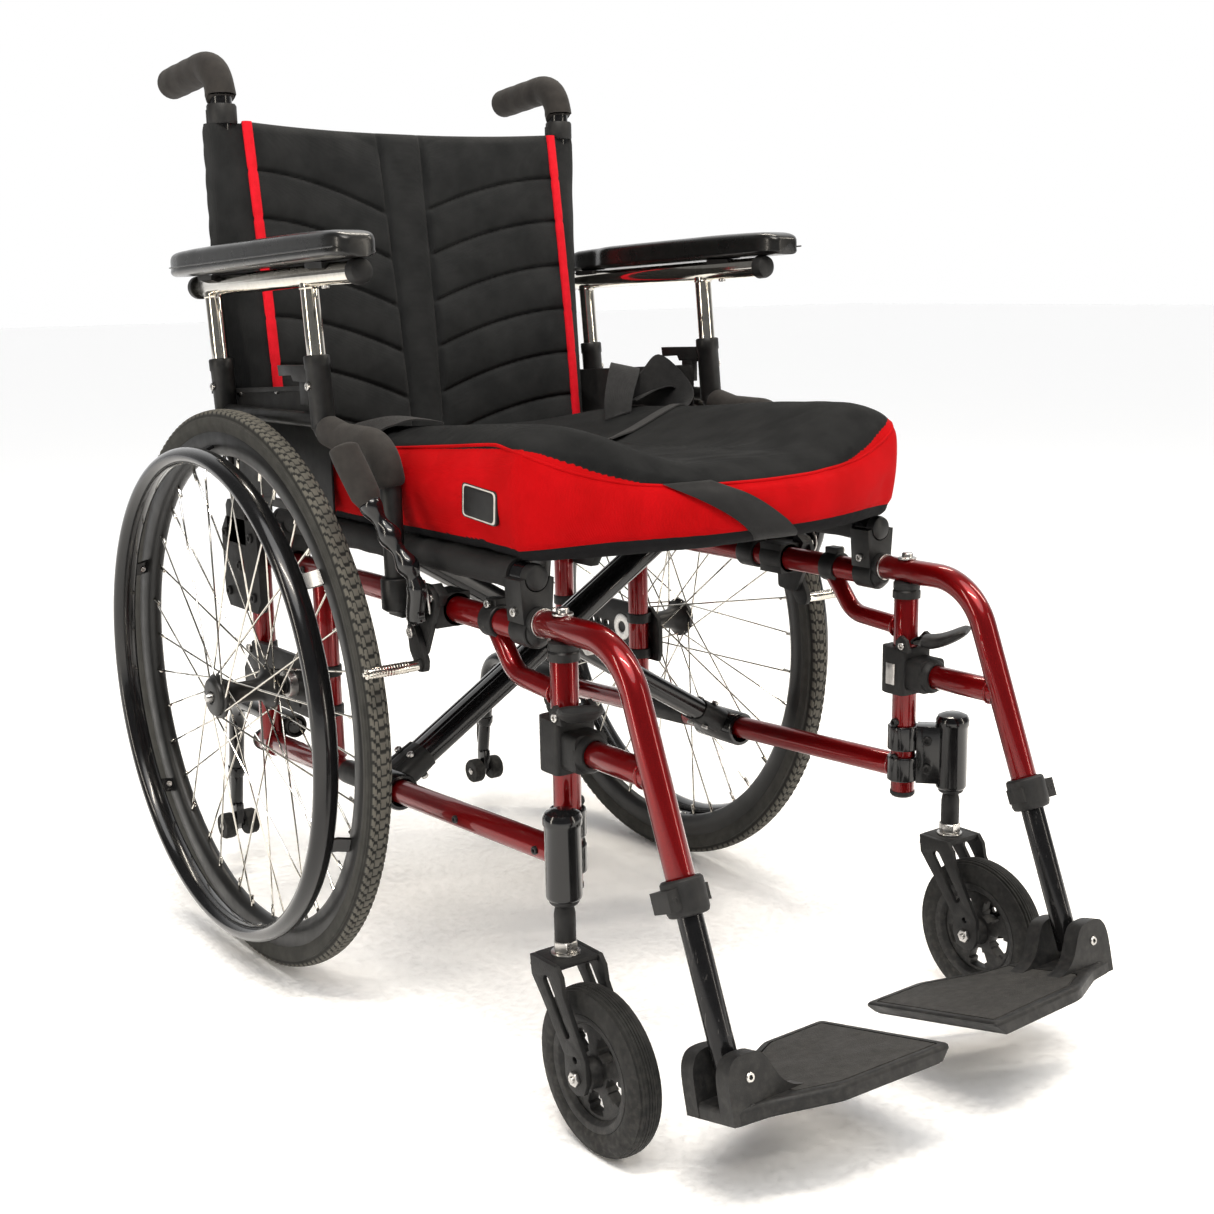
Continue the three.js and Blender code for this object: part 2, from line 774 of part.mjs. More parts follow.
function lockBracket() {
  return carve(
    [
      block(SIDE_X - 15, 236, -328, -296, UPPER_Z - 16, UPPER_Z + 16),
      sidePlate(
        [
          [-336, 446],
          [-330, 456],
          [-292, 462],
          [-282, 450],
          [-284, 396],
          [-312, 392],
        ],
        236 - 1,
        241,
      ),
      rod([240, ...LOCK_PIVOT], [256.5, ...LOCK_PIVOT], 4, 10),
      rod([240, ...SHOE_PIVOT], [247.7, ...SHOE_PIVOT], 4, 10),
    ],
    [rod([SIDE_X, -340, UPPER_Z], [SIDE_X, -280, UPPER_Z], TUBE_R + GAP, 16)],
  );
}

function lockLever() {
  const points = [
    [252, -318, 436],
    [254, -326, 462],
    [262, -318, 492],
    [276, -297, 528],
    [286, -281, 560],
    [291, -266, 588],
  ];
  const curve = new THREE.CatmullRomCurve3(points.map(vector));
  return carve(
    [
      sweep(curve.getSpacedPoints(10), disc(5.5, 4, 8)),
      rod([247.9 + GAP, ...LOCK_PIVOT], [255.5, ...LOCK_PIVOT], 11, 12),
      rod([281, -289, 546], [291, -266, 590], 12.5, 12, 13),
    ],
    [rod([240, ...LOCK_PIVOT], [260, ...LOCK_PIVOT], 4.4, 12)],
  );
}

function lockShoe() {
  return carve(
    [
      sidePlate(
        [
          [-292, 420],
          [-308, 420],
          [-324, 390],
          [-322, 379],
          [-310, 378],
          [-296, 396],
        ],
        241.4,
        247.4,
      ),
      rod([242, -316, 385], [306, -316, 385], 5.5, 12),
    ],
    [rod([235, ...SHOE_PIVOT], [250, ...SHOE_PIVOT], 4.4, 12)],
  );
}

// ---------- anti-tip ----------
function antiTipTube() {
  const wheelGap = 9;
  return carve(
    [
      bentTube(
        [
          [TIP_X, REAR_Y - 14, 228],
          [TIP_X, 262, 228],
          [TIP_X, TIP_Y, TIP_WHEEL_Z - 6],
        ],
        9.8,
        44,
        12,
      ),
    ],
    [
      rod([TIP_X - 20, TIP_Y - 1, TIP_WHEEL_Z], [TIP_X + 20, TIP_Y - 1, TIP_WHEEL_Z], 4.6, 10),
      block(TIP_X + wheelGap, TIP_X + 30, TIP_Y - 30, TIP_Y + 30, 20, 76),
      block(TIP_X - 30, TIP_X - wheelGap, TIP_Y - 30, TIP_Y + 30, 20, 76),
    ],
  );
}

function antiTipWheels() {
  const y = TIP_Y - 1;
  const wheel = (x0, x1) => rod([x0, y, TIP_WHEEL_Z], [x1, y, TIP_WHEEL_Z], TIP_WHEEL_R, 18);
  return carve([
    wheel(TIP_X + 11, TIP_X + 23),
    wheel(TIP_X - 23, TIP_X - 11),
    rod([TIP_X - 20, y, TIP_WHEEL_Z], [TIP_X + 20, y, TIP_WHEEL_Z], 4.1, 10),
  ]);
}

// ---------- scissor brace ----------
// Each bar runs from a sleeve on one lower rail up to the seat rail on the other side.
function brace(y, sleeveSide) {
  const low = [sleeveSide * SIDE_X, BRACE_LOW_Z];
  const high = [-sleeveSide * SIDE_X, RAIL_Z];
  const along = new THREE.Vector2(high[0] - low[0], high[1] - low[1]);
  const bar = new THREE.ExtrudeGeometry(disc(BRACE_THICK / 2, BRACE_DEPTH / 2, 12), {
    depth: along.length(),
    bevelEnabled: false,
  });
  // the section's first axis turns to lie across the bar, its second along Y
  const length = along.length();
  const turn = new THREE.Matrix4().makeBasis(
    new THREE.Vector3(-along.y / length, 0, along.x / length),
    new THREE.Vector3(0, 1, 0),
    new THREE.Vector3(along.x / length, 0, along.y / length),
  );
  bar.applyMatrix4(turn).translate(low[0], y, low[1]);
  const half = BRACE_DEPTH / 2;
  const added = [
    bar,
    rod([low[0], y - half, low[1]], [low[0], y + half, low[1]], 19, 18),
    rod([high[0], -467, RAIL_Z], [high[0], 44, RAIL_Z], RAIL_R, 14),
  ];
  const sleeve = rod([low[0], y - 60, low[1]], [low[0], y + 60, low[1]], TUBE_R + 2.6, 20);
  return { added, removed: [sleeve] };
}

const BRACE_MID_Y = (BRACE_RIGHT_Y + BRACE_LEFT_Y) / 2;
const BRACE_MID_Z = (BRACE_LOW_Z + RAIL_Z) / 2;

// The bar that starts at the right-hand lower rail carries the pivot bolt.
function braceRight() {
  const { added, removed } = brace(BRACE_RIGHT_Y, -1);
  added.push(rod([0, BRACE_RIGHT_Y + 26, BRACE_MID_Z], [0, BRACE_LEFT_Y - 26, BRACE_MID_Z], 6, 12));
  return carve(added, removed);
}

function braceLeft() {
  const { added, removed } = brace(BRACE_LEFT_Y, 1);
  removed.push(rod([0, BRACE_LEFT_Y - 40, BRACE_MID_Z], [0, BRACE_LEFT_Y + 40, BRACE_MID_Z], 6.8, 14));
  return carve(added, removed);
}

// ---------- soft pieces, as plain solids ----------
function seatSling() {
  return carve([block(-223, 223, -440, 30, RAIL_Z + RAIL_R + 0.5, RAIL_Z + RAIL_R + 4.5)]);
}

function cushion() {
  const half = 233;
  const frontBow = new THREE.Shape();
  frontBow.moveTo(-half, -22);
  frontBow.lineTo(-half, -462);
  frontBow.quadraticCurveTo(-half + 8, -484, -half + 36, -492);
  frontBow.quadraticCurveTo(0, -585, half - 36, -492);
  frontBow.quadraticCurveTo(half - 8, -484, half, -462);
  frontBow.lineTo(half, -22);
  frontBow.closePath();
  const body = new THREE.ExtrudeGeometry(frontBow, { depth: 98, bevelEnabled: false, curveSegments: 8 });
  body.translate(0, 0, RAIL_Z + RAIL_R + 6);
  // the hollow for the thighs deepens towards the front, and the seat's hollow is shallow
  const hollow = new THREE.SphereGeometry(1, 24, 14).scale(215, 420, 52).translate(0, -470, 612);
  const seat = new THREE.SphereGeometry(1, 24, 12).scale(195, 190, 26).translate(0, -150, 606);
  return carve([body], [hollow, seat]);
}

// The padded panel hangs between the posts, and a sleeve at each side is slipped over its post.
function backUpholstery() {
  const panel = sidePlate(
    [
      [62, 556],
      [92, 908],
      [122, 908],
      [108, 556],
    ],
    -206,
    206,
  );
  const sleeveX = 235.9;
  const sleeves = [block(-sleeveX, -200, 88, 127, 590, 906), block(200, sleeveX, 88, 127, 590, 906)];
  const bores = [-BACK_X, BACK_X].map((x) => rod([x, BACK_Y, 540], [x, BACK_Y, 915], 12.2, 16));
  return carve([panel, ...sleeves], bores);
}

// The lap belt lies round the back of the cushion, and its two ends come forward over the side bolsters.
function lapBelt() {
  const top = 607;
  return carve([
    block(-214, -150, -150, -18, top, top + 5),
    block(150, 214, -150, -18, top, top + 5),
    block(-214, 214, -18, -10, 560, top + 5),
    block(150, 206, -190, -150, top, top + 40),
  ]);
}

// ---------- assembly ----------
const chair = new THREE.Group();
chair.position.y = AXLE_Y;

const SIDE_PIECES = [
  ["side_frame", sideFrame, RED],
  ["rear_bracket", rearBracket, BLACK],
  ["axle_plate", axlePlate, BLACK],
  ["back_post", backPost, BLACK_GLOSS],
  ["push_grip", pushGrip, FOAM],
  ["rear_wheel", rearWheel, BLACK_GLOSS],
  ["axle_button", axleButton, CHROME],
  ["rear_tyre", rearTyre, TYRE_GREY],
  ["handrim", handrim, BLACK_GLOSS],
  ["caster_housing", casterHousing, BLACK_GLOSS],
  ["caster_fork", casterFork, BLACK],
  ["caster_wheel", casterWheel, BLACK],
  ["caster_tyre", casterTyre, CASTER_BLACK],
  ["hanger", hanger, RED],
  ["hanger_latch", hangerLatch, BLACK],
  ["latch_lever", latchLever, BLACK],
  ["extension_tube", extensionTube, BLACK_GLOSS],
  ["footplate", footplate, BLACK],
  ["arm_rail", armRail, CHROME],
  ["arm_pad", armPad, BLACK_GLOSS],
  ["arm_receiver", armReceiver, FOAM],
  ["side_guard", sideGuard, BLACK],
  ["lock_bracket", lockBracket, BLACK],
  ["lock_lever", lockLever, BLACK_GLOSS],
  ["lock_shoe", lockShoe, CHROME],
  ["anti_tip_tube", antiTipTube, BLACK_GLOSS],
  ["anti_tip_wheels", antiTipWheels, CASTER_BLACK],
];

const MIDDLE_PIECES = [
  ["brace_right", braceRight, BLACK_GLOSS],
  ["brace_left", braceLeft, BLACK_GLOSS],
  ["seat_sling", seatSling, FABRIC],
  ["seat_cushion", cushion, CUSHION_RED],
  ["back_upholstery", backUpholstery, FABRIC],
  ["lap_belt", lapBelt, FABRIC],
];

function addPiece(group, name, geometry, look) {
  const mesh = new THREE.Mesh(geometry, new THREE.MeshStandardMaterial(look));
  mesh.name = name;
  group.add(mesh);
}

const left = new THREE.Group();
const right = new THREE.Group();
right.scale.x = -1;
chair.add(left, right);

for (const [name, build, look] of SIDE_PIECES) {
  const geometry = build();
  addPiece(left, `${name}_left`, geometry, look);
  addPiece(right, `${name}_right`, geometry, look);
}
for (const [name, build, look] of MIDDLE_PIECES) addPiece(chair, name, build(), look);

export default chair;
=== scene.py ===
import math

import bmesh
import bpy
import numpy as np
from mathutils import Matrix, Vector, noise
from mathutils.bvhtree import BVHTree
from mathutils.geometry import tessellate_polygon


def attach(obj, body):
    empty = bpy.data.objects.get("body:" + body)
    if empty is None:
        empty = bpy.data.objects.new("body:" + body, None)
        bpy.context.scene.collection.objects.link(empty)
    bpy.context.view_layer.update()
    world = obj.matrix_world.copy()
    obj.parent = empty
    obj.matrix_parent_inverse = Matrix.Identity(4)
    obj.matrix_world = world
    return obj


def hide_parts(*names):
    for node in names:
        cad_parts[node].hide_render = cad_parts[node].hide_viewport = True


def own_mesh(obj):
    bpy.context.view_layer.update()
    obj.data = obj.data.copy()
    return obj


# Shapes are drawn in design millimetres, as the CAD is: y = 0 at the rear axle, one side at +X.
# build() moves them to the shared frame in metres, and mirrors them for the other side.
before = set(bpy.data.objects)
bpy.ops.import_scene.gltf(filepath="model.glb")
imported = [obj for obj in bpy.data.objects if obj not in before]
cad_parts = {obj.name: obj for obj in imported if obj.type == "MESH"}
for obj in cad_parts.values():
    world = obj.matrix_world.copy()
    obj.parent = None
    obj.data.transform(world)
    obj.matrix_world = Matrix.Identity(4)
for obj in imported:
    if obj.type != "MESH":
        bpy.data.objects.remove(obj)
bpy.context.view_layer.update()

MM = 1000  # millimetres in a metre
AXLE_Y = 244.0  # the rear axle's place in the shared frame
SIDE_X, TUBE_R, UPPER_Z, RAIL_Z = 212, 12.5, 436, 484
FRONT_Y, REAR_Y, MIDDLE_Y = -503, 108, -52
WHEEL_X, WHEEL_R = 285, 305
SWIVEL_X, SWIVEL_Y = 244, -541
CASTER_Y, CASTER_R = -588, 76
ARM_X, ARM_TOP, ARM_RISE = 250, 739, 0.036
BACK_X, BACK_Y = 221, 108
TIP_X, TIP_Y, TIP_TUBE_Z, TIP_WHEEL_Z = 187, 284, 228, 58
LOWER_FALL = 0.0475  # the lower rail's slope: it drops towards the back
SIDES = {"left": 1, "right": -1}
X, Y, Z = (1, 0, 0), (0, 1, 0), (0, 0, 1)


def lower_z(y):
    return 215 - LOWER_FALL * y


def leg_y(z):
    return -665 + 0.4 * (z - 255)


def arm_z(y):
    return ARM_TOP - ARM_RISE * y


# ---------- camera, light and floor ----------
CAMERA_AT, CAMERA_TURN = (-0.99334, -1.39493, 0.738), (-37.29, 12.99, -0.86)  # azimuth, pitch and roll in degrees
LENS_MM, SENSOR_MM, LENS_SHIFT = 48.576, 36, (-0.0279, 0.0399)


def add_camera():
    azimuth, pitch, roll = (math.radians(angle) for angle in CAMERA_TURN)
    ahead = Vector((-math.sin(azimuth) * math.cos(pitch), math.cos(azimuth) * math.cos(pitch), -math.sin(pitch)))
    side = ahead.cross(Vector(Z)).normalized()
    top = side.cross(ahead)
    right = math.cos(roll) * side + math.sin(roll) * top
    up = -math.sin(roll) * side + math.cos(roll) * top
    data = bpy.data.cameras.new("camera")
    data.sensor_width, data.lens = SENSOR_MM, LENS_MM
    data.shift_x, data.shift_y = LENS_SHIFT
    camera = bpy.data.objects.new("camera", data)
    camera.matrix_world = Matrix.Translation(CAMERA_AT) @ Matrix(
        ((right.x, up.x, -ahead.x, 0), (right.y, up.y, -ahead.y, 0), (right.z, up.z, -ahead.z, 0), (0, 0, 0, 1))
    )
    bpy.context.scene.collection.objects.link(camera)
    bpy.context.scene.camera = camera


WARM = (1.0, 0.92, 0.80)
SUN_WATTS, SUN_SPREAD, SUN_WAY = 2.0, math.radians(50), Vector((0.25, 0.42, -1))
PANELS = {  # long lamps: place, the point they face, size and watts
    "ceiling_panel_front": ((-0.9, -1.3, 2.9), (0, 0, 0.4), (1.5, 0.16), 50),
    "ceiling_panel_back": ((0.9, 1.2, 2.9), (0, 0, 0.4), (1.5, 0.16), 32),
    "side_panel_left": ((-2.9, 0.2, 1.1), (0, 0, 0.5), (0.22, 2.2), 28),
    "side_panel_right": ((1.5, -2.7, 1.1), (0, 0, 0.5), (0.16, 2.2), 20),
    "ceiling_panel_left": ((1.9, -0.9, 2.4), (0, 0, 0.4), (0.16, 1.5), 28),
}
FLOOR_HALF, FLOOR_WHITE = 30, (0.97, 0.97, 0.97)


def add_lamp(name, data, way, at=(0, 0, 0)):
    lamp = bpy.data.objects.new(name, data)
    lamp.location = at
    lamp.rotation_euler = way.to_track_quat("-Z", "Y").to_euler()
    bpy.context.scene.collection.objects.link(lamp)


def add_panel(name, at, towards, size, watts):
    data = bpy.data.lights.new(name, "AREA")
    data.shape = "RECTANGLE"
    data.size, data.size_y = size
    data.energy = watts
    data.color = WARM
    add_lamp(name, data, Vector(towards) - Vector(at), at)


def add_world():
    """A dim room, with a bright wall behind the chair that fades out towards the sides."""
    world = bpy.data.worlds.new("studio")
    world.use_nodes = True
    tree = world.node_tree
    background = tree.nodes["Background"]
    place = tree.nodes.new("ShaderNodeTexCoord")
    turn = tree.nodes.new("ShaderNodeVectorMath")
    turn.operation = "DOT_PRODUCT"
    turn.inputs[1].default_value = (0.606, 0.795, 0)
    fade = tree.nodes.new("ShaderNodeMapRange")
    fade.interpolation_type = "SMOOTHSTEP"
    for key, value in {"From Min": 0.3, "From Max": 0.78, "To Min": 0.16, "To Max": 1.0}.items():
        fade.inputs[key].default_value = value
    tree.links.new(place.outputs["Generated"], turn.inputs[0])
    tree.links.new(turn.outputs["Value"], fade.inputs["Value"])
    tree.links.new(fade.outputs["Result"], background.inputs["Strength"])
    background.inputs["Color"].default_value = (1, 1, 1, 1)
    bpy.context.scene.world = world


def add_studio():
    add_world()
    sun = bpy.data.lights.new("sky_window", "SUN")
    sun.energy, sun.angle = SUN_WATTS, SUN_SPREAD
    add_lamp("sky_window", sun, SUN_WAY)
    for name, settings in PANELS.items():
        add_panel(name, *settings)
    bpy.context.scene.view_settings.view_transform = "Standard"
    mesh = bpy.data.meshes.new("floor")
    half = FLOOR_HALF
    mesh.from_pydata([(-half, -half, 0), (half, -half, 0), (half, half, 0), (-half, half, 0)], [], [(0, 1, 2, 3)])
    floor = bpy.data.objects.new("floor", mesh)
    floor.data.materials.append(material("floor_paint", FLOOR_WHITE, 0.8, specular=0.1))
    bpy.context.scene.collection.objects.link(floor)


# ---------- materials ----------
class Nodes:
    """A material's node tree: each call adds one node and returns its first output."""

    def __init__(self, tree):
        self.tree = tree
        self.place = self.add("ShaderNodeTexCoord").node.outputs["Object"]

    def add(self, kind, inputs=None, out=0, **settings):
        node = self.tree.nodes.new(kind)
        for key, value in settings.items():
            setattr(node, key, value)
        for key, value in (inputs or {}).items():
            if isinstance(value, bpy.types.NodeSocket):
                self.tree.links.new(value, node.inputs[key])
            else:
                node.inputs[key].default_value = value
        return node.outputs[out]

    def noise(self, scale, detail=3, stretch=(1, 1, 1), rough=0.55):
        at = self.place
        if stretch != (1, 1, 1):
            at = self.add("ShaderNodeMapping", {"Vector": at, "Scale": stretch})
        return self.add("ShaderNodeTexNoise", {"Vector": at, "Scale": scale, "Detail": detail, "Roughness": rough})

    def cells(self, scale, stretch=(1, 1, 1), out="Distance", **settings):
        at = self.place
        if stretch != (1, 1, 1):
            at = self.add("ShaderNodeMapping", {"Vector": at, "Scale": stretch})
        return self.add("ShaderNodeTexVoronoi", {"Vector": at, "Scale": scale}, out, **settings)

    def waves(self, scale, turn=(0, 0, 0), distortion=0.0, profile="SIN"):
        at = self.add("ShaderNodeMapping", {"Vector": self.place, "Rotation": turn})
        inputs = {"Vector": at, "Scale": scale, "Distortion": distortion}
        return self.add("ShaderNodeTexWave", inputs, "Fac", wave_profile=profile)

    def ramp(self, value, low, high, to_low=0.0, to_high=1.0):
        inputs = {"Value": value, "From Min": low, "From Max": high, "To Min": to_low, "To Max": to_high}
        return self.add("ShaderNodeMapRange", inputs)

    def mix(self, share, a, b):
        return self.add("ShaderNodeMix", {0: share, 6: a, 7: b}, 2, data_type="RGBA")

    def maths(self, operation, a, b=0.0):
        return self.add("ShaderNodeMath", {0: a, 1: b}, operation=operation)

    def axis(self, name):
        return self.add("ShaderNodeSeparateXYZ", {0: self.place}, name)


def rgba(colour):
    return (*colour, 1.0)


def material(name, colour, rough, metal=0.0, second=None, spots=120, rough_change=0.0, bumps=(), coat=0.0,
             coat_rough=0.05, sheen=0.0, specular=0.3, paint=None):
    """colour and second mix by a noise of scale spots. bumps are (kind, scale, strength, distance) layers."""
    made = bpy.data.materials.new(name)
    made.use_nodes = True
    made.diffuse_color = rgba(colour)
    tree = made.node_tree
    shader = tree.nodes["Principled BSDF"]
    nodes = Nodes(tree)
    shader.inputs["Metallic"].default_value = metal
    shader.inputs["Specular IOR Level"].default_value = specular
    if coat:
        shader.inputs["Coat Weight"].default_value = coat
        shader.inputs["Coat Roughness"].default_value = coat_rough
        shader.inputs["Coat IOR"].default_value = 1.36
    if sheen:
        shader.inputs["Sheen Weight"].default_value = sheen
        shader.inputs["Sheen Roughness"].default_value = 0.4
    patches = nodes.ramp(nodes.noise(spots), 0.35, 0.65)
    tone = nodes.mix(patches, rgba(colour), rgba(second or tuple(c * 1.25 for c in colour)))
    if paint:
        tone = paint(nodes, tone)
    tree.links.new(tone, shader.inputs["Base Color"])
    if rough_change:
        rougher = nodes.ramp(nodes.noise(38, 5), 0.3, 0.7, rough - rough_change, rough + rough_change)
        tree.links.new(rougher, shader.inputs["Roughness"])
    else:
        shader.inputs["Roughness"].default_value = rough
    normal = None
    for kind, scale, strength, distance in bumps:
        if kind == "noise":
            height = nodes.noise(scale, 2)
        elif kind == "cells":
            height = nodes.cells(scale)
        elif kind == "weave":
            across = nodes.waves(scale, (0, 0, 0.785))
            along = nodes.waves(scale, (0.785, 0, -0.785))
            height = nodes.maths("MULTIPLY", across, along)
        elif kind == "mesh":
            a = nodes.waves(scale, (0, 0, 0))
            b = nodes.waves(scale, (0, 1.5708, 0))
            c = nodes.waves(scale, (0, 0, 1.5708))
            height = nodes.maths("ADD", nodes.maths("MULTIPLY", a, b), nodes.maths("MULTIPLY", b, c))
        else:
            height = nodes.waves(scale, kind)
        inputs = {"Height": height, "Strength": strength, "Distance": distance}
        if normal is not None:
            inputs["Normal"] = normal
        normal = nodes.add("ShaderNodeBump", inputs)
    if normal is not None:
        tree.links.new(normal, shader.inputs["Normal"])
    return made


def tread_dust_and_gap_shade(nodes, tone):
    """Dust on top of the tread's blocks, and painted shade in the gaps between them.

    The mask attribute is 1 on a block, -1 in a gap and 0 on the sidewall.
    """
    block_or_gap = nodes.add("ShaderNodeAttribute", out=2, attribute_name="block_or_gap")
    dust = nodes.maths("MULTIPLY", nodes.ramp(block_or_gap, 0.1, 0.7), nodes.ramp(nodes.noise(60, 5), 0.35, 0.6, 0.7, 1))
    # painted shade: the gaps between the blocks are darkened nearly to black
    tone = nodes.mix(nodes.ramp(block_or_gap, -0.1, -0.7, 0, 0.85), tone, rgba((0.010, 0.010, 0.009)))
    return nodes.mix(dust, tone, rgba((0.105, 0.099, 0.084)))


def dusty_low(nodes, tone):
    dust = nodes.maths("MULTIPLY", nodes.ramp(nodes.noise(160, 6), 0.45, 0.75, 0, 0.2),
                       nodes.ramp(nodes.axis("Z"), 0.2, 0.02))
    return nodes.mix(dust, tone, rgba((0.16, 0.15, 0.135)))


def scuffed(nodes, tone):
    marks = nodes.ramp(nodes.noise(420, 2, (1, 1, 0.12)), 0.66, 0.74, 0, 0.5)
    return nodes.mix(marks, tone, rgba((0.12, 0.115, 0.11)))


RED_DEEP, FLAKE = (0.135, 0.0006, 0.0016), ("noise", 2600, 0.05, 0.0004)
LOOKS = {
    "red": dict(colour=RED_DEEP, second=(0.175, 0.0008, 0.002), spots=900, rough=0.34, rough_change=0.03, metal=0.6,
                coat=1.0, coat_rough=0.03, specular=0.15, bumps=[FLAKE]),
    "gloss": dict(colour=(0.004, 0.004, 0.0045), rough=0.2, rough_change=0.06, coat=0.6, coat_rough=0.08,
                  bumps=[("noise", 300, 0.03, 0.0005)]),
    "rim_black": dict(colour=(0.006, 0.006, 0.006), rough=0.42, rough_change=0.08, specular=0.4,
                      bumps=[("noise", 900, 0.1, 0.0003)]),
    "satin": dict(colour=(0.006, 0.006, 0.0065), second=(0.010, 0.010, 0.010), rough=0.46, rough_change=0.1,
                  bumps=[("noise", 1400, 0.25, 0.0004)]),
    "cast": dict(colour=(0.006, 0.006, 0.0065), second=(0.010, 0.010, 0.010), rough=0.55, rough_change=0.1,
                 bumps=[("cells", 900, 0.3, 0.0005)]),
    "plastic": dict(colour=(0.009, 0.009, 0.0095), second=(0.014, 0.014, 0.014), rough=0.52, rough_change=0.08,
                    bumps=[("cells", 1300, 0.22, 0.0004)], paint=dusty_low),
    "moulded": dict(colour=(0.006, 0.006, 0.006), second=(0.009, 0.009, 0.009), rough=0.3, rough_change=0.08,
                    bumps=[("noise", 60, 0.05, 0.002), ("noise", 900, 0.04, 0.0004)], coat=0.3, coat_rough=0.15),
    "chrome": dict(colour=(0.70, 0.67, 0.61), second=(0.62, 0.59, 0.53), rough=0.11, rough_change=0.05, metal=1.0,
                   bumps=[("noise", 500, 0.03, 0.0003)]),
    "steel": dict(colour=(0.55, 0.54, 0.52), second=(0.42, 0.41, 0.4), rough=0.3, rough_change=0.08, metal=1.0,
                  bumps=[("noise", 900, 0.1, 0.0003)]),
    "foam": dict(colour=(0.018, 0.016, 0.015), second=(0.026, 0.023, 0.021), spots=90, rough=0.85,
                 rough_change=0.08, bumps=[("noise", 1500, 0.4, 0.0005), ("noise", 160, 0.2, 0.001)], sheen=0.05),
    "tyre": dict(colour=(0.032, 0.032, 0.029), second=(0.045, 0.044, 0.040), spots=70, rough=0.85,
                 rough_change=0.06, bumps=[("noise", 700, 0.2, 0.0005)], paint=tread_dust_and_gap_shade),
    "caster_rubber": dict(colour=(0.008, 0.008, 0.008), second=(0.013, 0.013, 0.0125), rough=0.72, rough_change=0.1,
                          bumps=[("noise", 600, 0.15, 0.0005)], paint=dusty_low),
    "charcoal": dict(colour=(0.008, 0.0088, 0.0095), second=(0.016, 0.0168, 0.0175), spots=30, rough=0.88,
                     bumps=[("mesh", 300, 0.5, 0.0006), ("noise", 40, 0.15, 0.002)], sheen=0.05, specular=0.25),
    "red_cloth": dict(colour=(0.37, 0.0006, 0.0016), second=(0.44, 0.001, 0.003), spots=22, rough=0.85,
                      bumps=[("mesh", 380, 0.5, 0.0005), ("noise", 60, 0.15, 0.002)], specular=0.08),
    "piping": dict(colour=(0.62, 0.0015, 0.010), second=(0.70, 0.003, 0.016), rough=0.7,
                   bumps=[((0, 0, 0.785), 700, 0.4, 0.0004)], sheen=0.02, specular=0.2),
    "nylon": dict(colour=(0.005, 0.005, 0.0055), second=(0.008, 0.008, 0.0085), rough=0.75,
                  bumps=[("weave", 700, 0.5, 0.0004)], sheen=0.04),
    "label": dict(colour=(0.45, 0.43, 0.40), rough=0.5, bumps=[("noise", 900, 0.1, 0.0003)]),
    "webbing": dict(colour=(0.012, 0.012, 0.013), second=(0.018, 0.018, 0.019), rough=0.7,
                    bumps=[("weave", 420, 0.6, 0.0005)], sheen=0.05),
    "tread": dict(colour=(0.026, 0.025, 0.024), second=(0.036, 0.035, 0.033), rough=0.7, rough_change=0.08,
                  bumps=[("cells", 800, 0.5, 0.0006)], paint=dusty_low),
    "anodised": dict(colour=(0.012, 0.012, 0.013), rough=0.24, rough_change=0.06, metal=0.6, coat=0.3,
                     bumps=[("noise", 700, 0.05, 0.0003)], paint=scuffed),
}
_made = {}


def look(name):
    if name not in _made:
        _made[name] = material(name, **LOOKS[name])
    return _made[name]


# ---------- mesh code ----------
def unit(v):
    v = np.asarray(v, float)
    return v / np.linalg.norm(v)


def rounded(corners, radius, steps=10):
    """Corner points joined by straights, with each inner corner turned into an arc."""
    corners = [np.array(c, float) for c in corners]
    radii = radius if isinstance(radius, (list, tuple)) else [radius] * len(corners)
    points = [corners[0]]
    for i in range(1, len(corners) - 1):
        here, r = corners[i], radii[i]
        back, ahead = unit(corners[i - 1] - here), unit(corners[i + 1] - here)
        half = math.acos(max(-1, min(1, float(back @ ahead)))) / 2
        centre = here + unit(back + ahead) * r / math.sin(half)
        start = here + back * r / math.tan(half) - centre
        end = here + ahead * r / math.tan(half) - centre
        turn = math.acos(max(-1, min(1, float(unit(start) @ unit(end)))))
        for k in range(steps + 1):
            t = k / steps
            points.append(centre + (start * math.sin((1 - t) * turn) + end * math.sin(t * turn)) / math.sin(turn))
    points.append(corners[-1])
    return points


def smooth_line(points, steps=6):
    """A Catmull-Rom line through the points."""
    p = [np.array(q, float) for q in points]
    p = [2 * p[0] - p[1], *p, 2 * p[-1] - p[-2]]
    line = []
    for a, b, c, d in zip(p, p[1:], p[2:], p[3:]):
        for k in range(steps):
            t = k / steps
            square, cube = (2 * a - 5 * b + 4 * c - d) * t**2, (3 * b - a - 3 * c + d) * t**3
            line.append(0.5 * (2 * b + (c - a) * t + square + cube))
    return [*line, p[-2]]


def circle(radius, sides=24, squash=1.0):
    return [(radius * math.cos(2 * math.pi * i / sides), radius * squash * math.sin(2 * math.pi * i / sides))
            for i in range(sides)]


def turns(count):
    """The angles of count points round a circle."""
    return np.linspace(0, 2 * math.pi, count + 1)[:-1]


def round_hole(x, y, radius, count):
    return [(x + radius * math.cos(t), y + radius * math.sin(t)) for t in turns(count)]


def power(value, exponent):
    """A power that keeps the sign, for rounded-off rectangles."""
    return math.copysign(abs(value) ** exponent, value)


def grid_faces(rows, across, closed=False):
    """The faces between rows of points that each run round a loop; closed joins the last row to the first."""
    return [(i * across + k, i * across + (k + 1) % across, (i + 1) % rows * across + (k + 1) % across,
             (i + 1) % rows * across + k)
            for i in range(rows if closed else rows - 1) for k in range(across)]


def triangles(loops):
    """A flat outline and its holes cut into triangles."""
    return tessellate_polygon([[Vector((x, y, 0)) for x, y in loop] for loop in loops])


